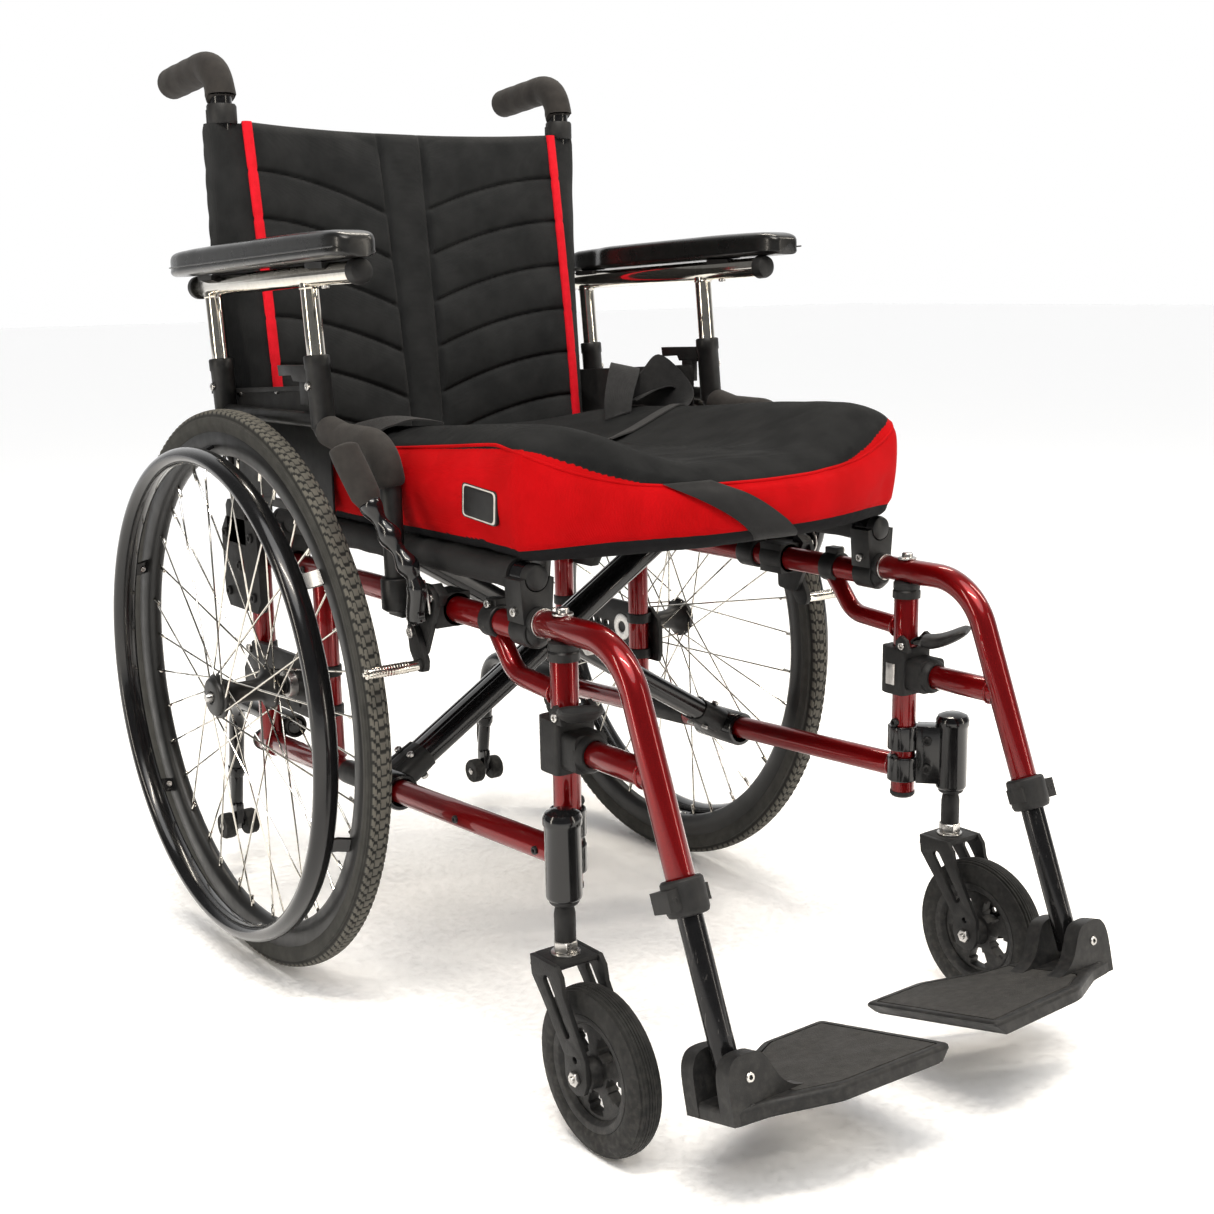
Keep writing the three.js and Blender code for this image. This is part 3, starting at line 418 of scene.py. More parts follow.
class Shape:
    """Closed surfaces gathered into one mesh, each face with a material number."""

    def __init__(self):
        self.points, self.faces, self.looks = [], [], []

    def add(self, points, faces, look_number=0):
        n = len(self.points)
        self.points += [tuple(float(c) for c in p) for p in points]
        self.faces += [tuple(i + n for i in f) for f in faces]
        self.looks += [look_number] * len(faces)
        return self

    def sweep(self, path, section, mat=0, side=None, sizes=None, closed=False):
        """Carries a closed section of (a, b) along a path: a lies along side, as near as it can."""
        path = [np.array(p, float) for p in path]
        n, m = len(path), len(section)
        rings, reference = [], None
        for i, p in enumerate(path):
            before = path[i - 1] if i or closed else p
            after = path[(i + 1) % n] if i < n - 1 or closed else p
            along = unit(after - before)
            if reference is None:
                reference = np.array(side if side is not None else (X if abs(along[0]) < 0.9 else Z), float)
            across = unit(reference - along * float(reference @ along))
            if side is None:
                reference = across
            up = np.cross(along, across)
            size = sizes[i] if sizes is not None else 1.0
            rings.append([p + (across * a + up * b) * size for a, b in section])
        faces = grid_faces(n, m, closed)
        if not closed:
            faces += [tuple(range(m))[::-1], tuple((n - 1) * m + k for k in range(m))]
        return self.add([q for ring in rings for q in ring], faces, mat)

    def loft(self, rings, mat=0):
        """Rings of points joined one to the next, and closed at both ends."""
        n, m = len(rings), len(rings[0])
        faces = grid_faces(n, m)
        faces += [tuple(range(m)), tuple((n - 1) * m + k for k in reversed(range(m)))]
        return self.add([p for ring in rings for p in ring], faces, mat)

    def tube(self, corners, radius, bend=0, mat=0, sides=24, steps=10, end=1.2, squash=1.0):
        """A round bar along rounded corners, with its end edges rounded by end."""
        path = rounded(corners, bend, steps) if bend else [np.array(c, float) for c in corners]
        path = [np.array(p) for p in path]
        first, last = unit(path[1] - path[0]), unit(path[-1] - path[-2])
        trim = min(end, radius * 0.9)
        ends = [(0.0, 1 - trim / radius), (0.3 * trim, 1 - 0.3 * trim / radius), (trim, 1.0)]
        start_pts = [path[0] + first * d for d, _ in ends]
        end_pts = [path[-1] - last * d for d, _ in reversed(ends)]
        sizes = [s for _, s in ends] + [1.0] * (len(path) - 2) + [s for _, s in reversed(ends)]
        return self.sweep(start_pts + path[1:-1] + end_pts, circle(radius, sides, squash), mat, sizes=sizes)

    def lathe(self, profile, origin=(0, 0, 0), axis=X, segments=64, mat=0, closed=True):
        """Turns (radius, distance along axis) points about the axis through origin."""
        axis = unit(axis)
        a = unit(np.cross(axis, Z if abs(axis[2]) < 0.9 else Y))
        b = np.cross(axis, a)
        origin = np.array(origin, float)
        points, rows = [], []
        for r, d in profile:
            if r < 1e-6:
                rows.append([len(points)] * segments)
                points.append(origin + axis * d)
            else:
                rows.append([len(points) + k for k in range(segments)])
                points += [origin + axis * d + r * (a * math.cos(t) + b * math.sin(t))
                           for t in (2 * math.pi * k / segments for k in range(segments))]
        faces = []
        for i in range(len(rows) if closed else len(rows) - 1):
            low, high = rows[i], rows[(i + 1) % len(rows)]
            for k in range(segments):
                l = (k + 1) % segments
                face = [low[k], low[l], high[l], high[k]]
                face = [v for n, v in enumerate(face) if v != face[n - 1]]
                if len(face) > 2:
                    faces.append(tuple(face))
        return self.add(points, faces, mat)

    def plate(self, outline, d0, d1, origin=(0, 0, 0), u=Y, v=Z, holes=(), mat=0):
        """A flat plate with holes: its outline is in (u, v) and it is thick along u x v, from d0 to d1."""
        u, v = unit(u), unit(v)
        w = np.cross(u, v)
        origin = np.array(origin, float)
        loops = [list(outline), *[list(h) for h in holes]]
        flat = [q for loop in loops for q in loop]
        count = len(flat)
        points = [origin + u * x + v * y + w * d for d in (d0, d1) for x, y in flat]
        flat_faces = triangles(loops)
        faces = [tuple(t) for t in flat_faces] + [tuple(i + count for i in reversed(t)) for t in flat_faces]
        start = 0
        for loop in loops:
            n = len(loop)
            faces += [(start + k, start + (k + 1) % n, count + start + (k + 1) % n, count + start + k)
                      for k in range(n)]
            start += n
        return self.add(points, faces, mat)

    def level(self, outline, z0, z1, holes=(), mat=0):
        return self.plate(outline, z0, z1, u=X, v=Y, holes=holes, mat=mat)

    def block(self, x0, x1, y0, y1, z0, z1, mat=0):
        return self.plate([(y0, z0), (y1, z0), (y1, z1), (y0, z1)], x0, x1, mat=mat)

    def bolt(self, at, axis, radius=5, height=4, mat=0, kind="socket"):
        """A cap screw with a hexagon socket, or a hexagon head, sitting at a point and facing along axis."""
        if kind == "hex":
            head = [(0, 0), (radius * 0.96, 0), (radius, 0.5), (radius, height - 0.6), (radius * 0.9, height),
                    (0, height)]
            end = [(0, 0), (radius * 0.45, 0), (radius * 0.45, height + 2), (0, height + 2.4)]
            return self.lathe(head, at, axis, 6, mat, False).lathe(end, at, axis, 16, mat, False)
        socket = radius * 0.48
        profile = [(0, -0.4), (radius, -0.4), (radius, height * 0.75), (radius * 0.86, height), (socket, height),
                   (socket * 0.98, height * 0.35), (0, height * 0.3)]
        return self.lathe(profile, at, axis, 18, mat, False)

    def ring(self, at, axis, radius, thickness, width, mat=0, segments=32):
        half = width / 2
        edge = min(1.0, thickness * 0.3, half * 0.5)
        r1, r0 = radius + thickness, radius
        profile = [(r0, -half), (r1 - edge, -half), (r1, -half + edge), (r1, half - edge), (r1 - edge, half),
                   (r0, half)]
        return self.lathe(profile, at, axis, segments, mat)

    def weld(self, at, axis, radius, bead=1.6, mat=0):
        """A rippled bead of weld round a tube."""
        count = 48
        axis = unit(axis)
        a = unit(np.cross(axis, Z if abs(axis[2]) < 0.9 else Y))
        b = np.cross(axis, a)
        at = np.array(at, float)
        angles = (2 * math.pi * k / count for k in range(count))
        path = [at + radius * (a * math.cos(t) + b * math.sin(t)) for t in angles]
        sizes = [1 + 0.12 * (k % 2) for k in range(count)]
        return self.sweep(path, circle(bead, 8), mat, sizes=sizes, closed=True, side=axis)


def to_mesh(name, shape, looks, side, bevel, sharp, subdivide):
    mesh = bpy.data.meshes.new(name)
    points = [(side * x / MM, (y + AXLE_Y) / MM, z / MM) for x, y, z in shape.points]
    mesh.from_pydata(points, [], shape.faces)
    for polygon, number in zip(mesh.polygons, shape.looks):
        polygon.material_index = number
    for key in looks:
        mesh.materials.append(look(key) if isinstance(key, str) else key)
    made = bpy.data.objects.new(name, mesh)
    bpy.context.scene.collection.objects.link(made)
    work = bmesh.new()
    work.from_mesh(mesh)
    bmesh.ops.recalc_face_normals(work, faces=work.faces)
    work.to_mesh(mesh)
    work.free()
    if bevel:
        cut = made.modifiers.new("bevel", "BEVEL")
        cut.width, cut.segments = bevel / MM, 2
        cut.limit_method, cut.angle_limit = "ANGLE", math.radians(38)
    if subdivide:
        finer = made.modifiers.new("finer", "SUBSURF")
        finer.levels = finer.render_levels = subdivide
    if bevel or subdivide:
        apply_modifiers(made)
    finish_normals(made.data, sharp)
    return made


def apply_modifiers(made):
    bpy.context.view_layer.update()
    evaluated = made.evaluated_get(bpy.context.evaluated_depsgraph_get())
    mesh = bpy.data.meshes.new_from_object(evaluated)
    old = made.data
    made.modifiers.clear()
    made.data = mesh
    bpy.data.meshes.remove(old)


def finish_normals(mesh, sharp):
    work = bmesh.new()
    work.from_mesh(mesh)
    for edge in work.edges:
        edge.smooth = len(edge.link_faces) == 2 and edge.calc_face_angle(3.2) < math.radians(sharp)
    for face in work.faces:
        face.smooth = True
    work.to_mesh(mesh)
    work.free()


def build(name, shape, looks, body, slot, replaces=(), side=1, bevel=0.0, sharp=35, subdivide=0):
    made = to_mesh(name, shape, looks, side, bevel, sharp, subdivide)
    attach(made, body)
    if replaces:
        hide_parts(*replaces)
    return made


def both(name, shape, looks, body, slot, replaces=(), **options):
    """The same shape on both sides: body, and the CAD nodes that it replaces, end in the side's name."""
    return [build(f"{name}_{side}", shape, looks, f"{body}_{side}", slot, [f"{n}_{side}" for n in replaces], sign,
                  **options)
            for side, sign in SIDES.items()]


def on_frame(name, shape, looks, slot, *replaces, **options):
    """The same shape on both side frames, for the CAD nodes that it replaces."""
    for side, sign in SIDES.items():
        build(f"{name}_{side}", shape, looks, f"{side}_frame", slot, [f"{n}_{side}" for n in replaces], sign,
              **options)


# ---------- side frames ----------
def side_frame():
    s = Shape()
    red, black, steel = 0, 1, 2
    s.tube([(SIDE_X, FRONT_Y, lower_z(FRONT_Y)), (SIDE_X, REAR_Y + 24, lower_z(REAR_Y + 24))], TUBE_R)
    s.tube([(SIDE_X, FRONT_Y, 212), (SIDE_X, FRONT_Y, 425)], TUBE_R)
    s.tube([(SIDE_X, -463, UPPER_Z), (SIDE_X, REAR_Y, UPPER_Z)], TUBE_R)
    s.tube([(SIDE_X, REAR_Y, 216), (SIDE_X, REAR_Y, 448)], TUBE_R)
    s.tube([(SIDE_X, MIDDLE_Y, 218), (SIDE_X, MIDDLE_Y, UPPER_Z)], TUBE_R)
    s.tube([(SIDE_X, -392, 434), (SIDE_X, -428, 391), (SIDE_X, FRONT_Y, 386)], 9.5, 32)
    for y, z, axis, r in (
        (FRONT_Y + 12, lower_z(-491), Y, 12.6),
        (REAR_Y - 13, lower_z(95), Y, 12.6),
        (FRONT_Y + 12.5, 386, (0, 1, 0.06), 9.8),
        (MIDDLE_Y, lower_z(MIDDLE_Y) + 12.5, Z, 12.6),
        (MIDDLE_Y, UPPER_Z - 12.5, Z, 12.6),
        (REAR_Y, UPPER_Z - 13, Z, 12.6),
    ):
        s.weld((SIDE_X, y, z), axis, r)
    # end cap, ring clamp and plugs
    cap = [(0, -5), (8, -5), (11.5, -2.5), (13.4, 0), (13.4, 8), (0, 8)]
    s.lathe(cap, (SIDE_X, -467, UPPER_Z), Y, 32, black, False)
    s.ring((SIDE_X, -457.5, UPPER_Z), Y, 12.4, 1.0, 1.6, steel)
    s.ring((SIDE_X, -398, UPPER_Z), Y, 12.4, 3.4, 20, black)
    s.block(206, 218, -406, -390, 448, 457, black)
    s.bolt((221, -398, 452.5), X, 4, 3, steel)
    s.lathe([(12.3, 0), (14.2, 0), (14.2, 7), (12.4, 9.5), (12.3, 9.5)], (SIDE_X, FRONT_Y, 417.5), Z, 32, black)
    s.lathe([(0, 0), (11, 0), (13, 2.5), (13, 6), (0, 6)], (SIDE_X, FRONT_Y, 207.5), Z, 28, black, False)
    plug = [(0, 5), (11.5, 3), (13, 0), (13, -6), (0, -6)]
    s.lathe(plug, (SIDE_X, REAR_Y + 25, lower_z(REAR_Y + 25)), Y, 28, black, False)
    # saddles that the seat rails drop into
    for y in (-452, 20):
        cradle = [(SIDE_X - 15, UPPER_Z + 8), (SIDE_X + 15, UPPER_Z + 8), (SIDE_X + 18, RAIL_Z - 1)]
        arc = [(SIDE_X + 12.7 * math.cos(math.radians(a)), RAIL_Z + 12.7 * math.sin(math.radians(a)))
               for a in range(-4, -177, -14)]
        cradle += [(SIDE_X + 13, RAIL_Z)] + arc + [(SIDE_X - 13, RAIL_Z), (SIDE_X - 18, RAIL_Z - 1)]
        s.plate(cradle, -13, 13, (0, y, 0), X, Z, mat=black)
        s.ring((SIDE_X, y, UPPER_Z), Y, 12.4, 3.2, 26, black)
        for way in (1, -1):
            s.bolt((SIDE_X + 16 * way, y, UPPER_Z + 18), (way, 0, 0), 4.2, 3, steel)
    # small bolts seen along the lower rail and the front upright
    for y in (-330, -468):
        s.bolt((SIDE_X + 12, y, lower_z(y)), X, 4, 3, black)
    for z in (250, 288):
        s.bolt((SIDE_X - 12, FRONT_Y, z), (-1, 0, 0), 4.5, 4, black)
    for y in (-30, 60):
        s.bolt((SIDE_X + 12, y, UPPER_Z), X, 4, 3, black)
    # plain dark band on the lower rail
    s.ring((SIDE_X, -118, lower_z(-118)), (0, 1, -LOWER_FALL), 12.5, 0.5, 66, black)
    # socket of the anti-tip tube
    s.block(TIP_X - 3, SIDE_X - 6, REAR_Y - 9, REAR_Y + 9, TIP_TUBE_Z - 10, TIP_TUBE_Z + 10, black)
    socket = [(10.7, -15), (13, -16), (14, -14), (14, 31), (13, 33), (10.7, 32)]
    s.lathe(socket, (TIP_X, REAR_Y, TIP_TUBE_Z), Y, 32, black)
    s.bolt((TIP_X - 13.5, REAR_Y + 18, TIP_TUBE_Z), (-1, 0, 0), 4, 5, steel)
    return s


def rear_bracket():
    s = Shape()
    s.plate([(84, 449.5), (134, 449.5), (134, 492), (128, 499), (90, 499), (84, 492)], 203, 238)
    s.plate([(56, 388), (66, 374), (140, 374), (150, 388), (150, 462), (136, 479), (70, 479), (56, 462)], 226, 238)
    s.ring((BACK_X, BACK_Y, 497), Z, 12.4, 5, 12)
    for y, z in ((70, 392), (136, 392), (70, 460), (136, 460), (103, 425)):
        s.bolt((238, y, z), X, 5.5, 3.5, 1)
    return s


def axle_plate():
    s = Shape()
    outline = [(-72, 272), (122, 272), (128, 282), (128, 300), (104, 330), (92, 338), (-58, 338), (-72, 326),
               (-76, 312), (-76, 284)]
    holes = [round_hole(y, WHEEL_R, 5, 16) for y in (-50, -34, 34, 50, 66)]
    holes += [round_hole(y, 284, 3.5, 12) for y in (-40, -16, 16, 40)]
    s.plate(outline, 225.5, 231.5, holes=holes)
    s.lathe([(7, 0), (17, 0), (17, 5), (15, 6), (15, 16), (13.5, 17), (7, 17)], (224.8, 0, WHEEL_R), X, 40, 1)
    for y in (MIDDLE_Y, REAR_Y):
        for z in (283, 327):
            s.bolt((231.5, y, z), X, 5, 3.5, 1)
            s.ring((SIDE_X + 1, y, z), Z, 12.6, 2.4, 12)
    return s


def back_post():
    s = Shape()
    s.tube([(BACK_X, BACK_Y, 449.5), (BACK_X, BACK_Y, 972), (BACK_X + 2, 236, 960.7)], 11.5, 34)
    collar = [(11.4, 0), (15.4, 0), (16, 1.5), (16, 18), (14.5, 20.5), (11.4, 20.5)]
    return s.lathe(collar, (BACK_X, BACK_Y, 906.5), Z, 36, 1)


def push_grip():
    """A foam sleeve with a slight waist near its start and a rounded end."""
    path = rounded([(BACK_X, BACK_Y, 936), (BACK_X, BACK_Y, 970.5), (BACK_X + 2, 246, 958.5)], 34, 14)
    lengths = np.concatenate([[0], np.cumsum([np.linalg.norm(b - a) for a, b in zip(path, path[1:])])])
    total, stations = lengths[-1], 60
    fine = [np.array([np.interp(t, lengths, [p[i] for p in path]) for i in range(3)])
            for t in np.linspace(0, total, stations)]
    sizes = []
    for k in range(stations):
        along = total * k / (stations - 1)
        size = 1.0 - 0.05 * math.exp(-((along - 12) / 9) ** 2)
        left = total - along
        if left < 14:
            size *= math.sqrt(max(0.02, 1 - ((14 - left) / 14) ** 2 * 0.9))
        if along < 4:
            size *= 0.84 + 0.04 * along
        sizes.append(size + 0.012 * math.sin(along * 0.21))
    return Shape().sweep(fine, circle(17, 28), sizes=sizes)


def add_frames():
    on_frame("frame_tubes", side_frame(), ["red", "satin", "steel"], "frame_red", "side_frame", bevel=0.45)
    on_frame("back_bracket", rear_bracket(), ["cast", "satin"], "black_casting", "rear_bracket", bevel=1.0)
    on_frame("axle_plates", axle_plate(), ["satin", "steel"], "black_casting", "axle_plate", bevel=0.5)
    on_frame("back_posts", back_post(), ["gloss", "plastic"], "black_tube", "back_post")
    on_frame("push_grips", push_grip(), ["foam"], "grip_foam", "push_grip")


# ---------- rear wheels ----------
SPOKES, HANDRIM_TABS, HANDRIM_X = 36, 6, 323
TREAD_STEPS, TREAD_BLOCKS, TREAD_HIGH = 1000, 166, 1.15


def tread_height(turn, across):
    """Height of the block tread, 0 to 1: turn counts blocks round the tyre, across is -1 to 1."""
    row = abs(across)
    if row > 0.94:
        return 0.0
    if row > 0.64:
        return 1.0 if (turn + (row - 0.64) * 0.9) % 1.0 > 0.3 else 0.0
    if row > 0.57:
        return 1.0 if turn % 1.0 > 0.72 else 0.0
    if row > 0.3:
        cell = (turn + 0.5 + 0.25 * math.copysign(1, across)) % 1.0
        return 1.0 if cell > 0.26 else 0.0
    if row > 0.23:
        return 1.0 if (turn + 0.5) % 1.0 > 0.72 else 0.0
    return 1.0 if turn % 1.0 > 0.24 else 0.0


def rear_tyre():
    """The casing is turned, then the tread's blocks are raised out of a fine grid."""
    s = Shape()
    section = []
    for k in range(41):
        across = -1.12 + 2.24 * k / 40
        crown = 303.6 - 0.9 * across**2 * 2.6 - (max(0, abs(across) - 0.85) * 26) ** 1.1
        section.append((crown, 12.2 * across / 1.12, across))
    half = [(279.6, 9.0), (284, 11.2), (288, 12.2), (290.5, 12.9), (292, 12.6), (293.5, 13.0), (296, 13.0)]
    profile = [(r, -x, None) for r, x in half] + section[2:-2] + [(r, x, None) for r, x in reversed(half)]
    rows = []
    for i in range(TREAD_STEPS):
        t = 2 * math.pi * i / TREAD_STEPS
        row = []
        for r, x, across in profile:
            lift = TREAD_HIGH * tread_height(i * TREAD_BLOCKS / TREAD_STEPS, across) if across is not None else 0
            row.append((WHEEL_X + x, (r + lift) * math.cos(t), WHEEL_R + (r + lift) * math.sin(t)))
        rows.append(row)
    s.add([p for row in rows for p in row], grid_faces(TREAD_STEPS, len(profile), closed=True))
    # the mask that puts dust on the blocks and painted shade in the gaps
    block_or_gap = [0.0 if across is None or abs(across) > 0.96
            else 2 * tread_height(i * TREAD_BLOCKS / TREAD_STEPS, across) - 1
            for i in range(TREAD_STEPS) for _, _, across in profile]
    return s, block_or_gap


def rear_wheel():
    s = Shape()
    black, steel = 0, 1
    half = [(256, -2.5), (257.5, -6), (263, -9.2), (270, -10), (280.5, -10.4), (281.8, -9.6), (281.6, -8.2),
            (275, -8)]
    rim = half + [(r, -x) for r, x in reversed(half)] + [(255.6, 0)]
    s.lathe(rim, (WHEEL_X, 0, WHEEL_R), X, 144, black)
    hub = [(0, 242.5), (9, 242.5), (11, 244), (12.5, 251), (13.5, 253), (22, 257.5), (24.5, 259), (24.5, 262),
           (22, 263), (16.5, 265.5), (12.6, 272), (11.6, 282), (11.6, 292), (13, 303), (17, 311), (22, 315.8),
           (24.5, 317), (24.5, 320), (22.5, 321.4), (21.5, 321.6), (21.5, 323.8), (19.8, 326.2), (16.5, 327.2),
           (8.4, 327.2), (7.6, 326.4), (6.6, 326.2), (6.6, 318.6), (0, 318.6)]
    s.lathe(hub, (0, 0, WHEEL_R), X, 56, black, False)
    for i in range(SPOKES):
        outer = i % 2
        crossing = 1 if (i // 2) % 2 else -1
        rim_angle = 2 * math.pi * (i + 0.5) / SPOKES
        hub_angle = rim_angle + crossing * 1.15
        x = (318.5 if outer else 260.5) + crossing * 2.0
        start = (x, 21.5 * math.cos(hub_angle), WHEEL_R + 21.5 * math.sin(hub_angle))
        end_x = WHEEL_X + (2.2 if outer else -2.2)
        at = lambda r: (end_x, r * math.cos(rim_angle), WHEEL_R + r * math.sin(rim_angle))
        s.tube([start, at(258)], 1.05, mat=steel, sides=8, end=0.3)
        s.tube([at(243), at(259)], 1.9, mat=steel, sides=8, end=0.5)
        head = [(x + crossing * out, start[1], start[2]) for out in (-3.6, 0.6)]
        s.tube(head, 1.5, mat=steel, sides=8, end=0.4)
    # valve stem
    s.tube([(WHEEL_X, 0, WHEEL_R + 222), (WHEEL_X, 0, WHEEL_R + 258)], 3.2, mat=black, sides=12)
    return s


def handrim():
    s = Shape()
    section = [(259 + 8.8 * math.cos(t) * (1 - 0.10 * math.sin(t)), -13 * math.sin(t)) for t in turns(28)]
    s.lathe(section, (HANDRIM_X, 0, WHEEL_R), X, 160)
    for i in range(HANDRIM_TABS):
        t = 2 * math.pi * (i + 0.4) / HANDRIM_TABS
        radial = np.array((0, math.cos(t), math.sin(t)))
        around = np.array((0, -math.sin(t), math.cos(t)))
        foot = np.array((294.6, 0, WHEEL_R)) + radial * 266
        head = np.array((317.0, 0, WHEEL_R)) + radial * 260
        middle = (foot + head) / 2 - radial * 1.5
        s.sweep([foot, middle, head], [(8, 1.7), (-8, 1.7), (-8, -1.7), (8, -1.7)], side=around)
        s.bolt(np.array((302, 0, WHEEL_R)) + radial * 262, -radial, 3.4, 3, 1)
    return s


def axle_button():
    profile = [(0, 322.5), (5.6, 322.5), (5.6, 331), (4.4, 333.2), (1.5, 333.9), (0, 333.9)]
    return Shape().lathe(profile, (0, 0, WHEEL_R), X, 32, closed=False)


# ---------- casters ----------
SWIVEL_FOOT, CASTER_HUB = (SWIVEL_X, SWIVEL_Y, 0), (SWIVEL_X, CASTER_Y, CASTER_R)
WEB_STEPS = 12  # cells to a spoke of the caster wheel


def caster_housing():
    s = Shape()
    s.lathe([(7.2, 218), (13.5, 218), (15.6, 219.5), (16, 222), (16, 284), (17.2, 286), (17.2, 292), (15, 296),
             (9, 298.6), (0, 299), (0, 292), (7.2, 290)], SWIVEL_FOOT, Z, 48, 0)
    s.lathe([(7.2, 214), (12, 214), (13.2, 216), (13.2, 221), (7.2, 221)], SWIVEL_FOOT, Z, 40, 1)
    towards = unit(np.array((SIDE_X - SWIVEL_X, FRONT_Y - SWIVEL_Y, 0)))
    across = np.array((-towards[1], towards[0], 0))
    arm = [(10, 224), (36, 224), (36, 285), (10, 285)]
    s.plate(arm, -10.5, 10.5, SWIVEL_FOOT, towards, Z)
    for z in (238, 271):
        s.ring((SIDE_X, FRONT_Y, z), Z, 12.8, 3.6, 26, segments=40)
    middle = np.array(SWIVEL_FOOT) + towards * 25
    for z in (240, 270):
        for sign in (-1, 1):
            s.bolt(middle + across * 10.5 * sign + np.array((0, 0, z)), across * sign, 5, 4, 1)
    return s


def fork_leg():
    """The leg's outline seen from the side, with its slot and its small hole."""
    outline = [(SWIVEL_Y + 19, 168), (SWIVEL_Y - 20, 168), (SWIVEL_Y - 27, 160), (SWIVEL_Y - 30, 146),
               (CASTER_Y - 14, 96), (CASTER_Y - 15, 74), (CASTER_Y - 11, 64), (CASTER_Y, 60), (CASTER_Y + 11, 64),
               (CASTER_Y + 16, 74), (CASTER_Y + 17, 92), (SWIVEL_Y - 2, 128), (SWIVEL_Y + 17, 150)]
    along = unit(np.array((CASTER_Y + 8 - (SWIVEL_Y - 2), 112 - 150)))
    normal = np.array((-along[1], along[0]))
    slot = []
    for centre, start in ((np.array((SWIVEL_Y - 5, 151)), 0), (np.array((CASTER_Y + 13, 112)), math.pi)):
        for t in np.linspace(0, math.pi, 8):
            slot.append(tuple(centre + 4.6 * (normal * math.cos(t + start) - along * math.sin(t + start))))
    return outline, [slot, round_hole(CASTER_Y + 1.5, 92, 3.2, 12)]


def caster_fork():
    s = Shape()
    black, steel = 0, 1
    outline, holes = fork_leg()
    for x0, x1 in ((264.3, 269), (219, 223.7)):
        s.plate(outline, x0, x1, holes=holes)
    crown = [(219.2, 158), (219.6, 163), (221.5, 166.8), (225, 168.3), (263, 168.3), (266.5, 166.8), (268.4, 163),
             (268.8, 158), (264.4, 158), (264, 161.5), (262, 163.4), (226, 163.4), (224, 161.5), (223.6, 158)]
    s.plate(crown, -19, 20, (0, SWIVEL_Y, 0), X)
    s.tube([(SWIVEL_X, SWIVEL_Y, 166), (SWIVEL_X, SWIVEL_Y, 283)], 6.6)
    # washer, nut and stem
    for profile, segments, mat in (
        ([(0, 168.3), (13, 168.3), (13, 170.3), (0, 170.3)], 32, steel),
        ([(0, 170.3), (10.4, 170.3), (11.3, 171.2), (11.3, 179.6), (10.4, 180.6), (0, 180.6)], 6, steel),
        ([(0, 180.6), (9.5, 180.6), (9.5, 205), (8, 213), (0, 213)], 32, black),
    ):
        s.lathe(profile, SWIVEL_FOOT, Z, segments, mat, False)
    s.tube([(218, CASTER_Y, CASTER_R), (270, CASTER_Y, CASTER_R)], 4, mat=steel)
    for x, way in ((269, 1), (219, -1)):
        s.bolt((x, CASTER_Y, CASTER_R), (way, 0, 0), 7, 4, steel, "hex")
    for x in (262.2, 223.8):
        s.ring((x, CASTER_Y, CASTER_R), X, 3.9, 3.2, 3, steel)
    return s


def spoked_web(s, y, z, x0, x1, inner, outer, count, share):
    """A disc with windows between its spokes, made from aligned rings of cells."""
    radii = [inner] + list(np.linspace(inner + 5, outer - 5, 5)) + [outer]
    steps = count * WEB_STEPS
    shown = []
    for i in range(len(radii) - 1):
        for k in range(steps):
            cell = (k % WEB_STEPS + 0.5) / WEB_STEPS
            corner = i in (1, len(radii) - 3) and (cell > 0.92 or cell < share + 0.08)
            window = 0 < i < len(radii) - 2 and cell > share and not corner
            if not window:
                shown.append((i, k))
    kept = set(shown)
    points, faces = [], []
    n = len(radii) * steps
    for x in (x0, x1):
        for r in radii:
            for k in range(steps):
                t = 2 * math.pi * k / steps
                points.append((x, y + r * math.cos(t), z + r * math.sin(t)))
    for i, k in shown:
        l = (k + 1) % steps
        quad = (i * steps + k, i * steps + l, (i + 1) * steps + l, (i + 1) * steps + k)
        faces.append(quad)
        faces.append(tuple(q + n for q in reversed(quad)))
        for (ni, nk), (p, q) in (((i - 1, k), (quad[0], quad[1])), ((i + 1, k), (quad[2], quad[3])),
                                 ((i, (k - 1) % steps), (quad[3], quad[0])), ((i, l), (quad[1], quad[2]))):
            if (ni, nk) not in kept:
                faces.append((q, p, p + n, q + n))
    return s.add(points, faces)


def caster_wheel():
    s = Shape()
    s.lathe([(4.9, -17.6), (11, -17.6), (12.6, -16), (14, -8), (14, 8), (12.6, 16), (11, 17.6), (4.9, 17.6)],
            CASTER_HUB, X, 40)
    spoked_web(s, CASTER_Y, CASTER_R, SWIVEL_X - 6, SWIVEL_X + 6, 13, 44, 5, 0.42)
    return s.lathe([(42.5, -7), (46, -11.6), (52.4, -12.6), (52.4, 12.6), (46, 11.6), (42.5, 7)], CASTER_HUB, X, 96)


def caster_tyre():
    half, ribs = [(52.0, -11.8), (55, -13.4), (60, -14), (65, -13.4)], 9
    profile = list(half)
    for k in range(ribs):
        x = -10.4 + 20.8 * k / (ribs - 1)
        r = 75.8 - 6.0 * abs(x / 12.6) ** 2.6
        profile += [(r, x - 0.85), (r, x + 0.85)]
        if k < ribs - 1:
            profile.append((r - 1.0, x + 1.2))
    profile += [(r, -x) for r, x in reversed(half)]
    return Shape().lathe(profile, CASTER_HUB, X, 96)


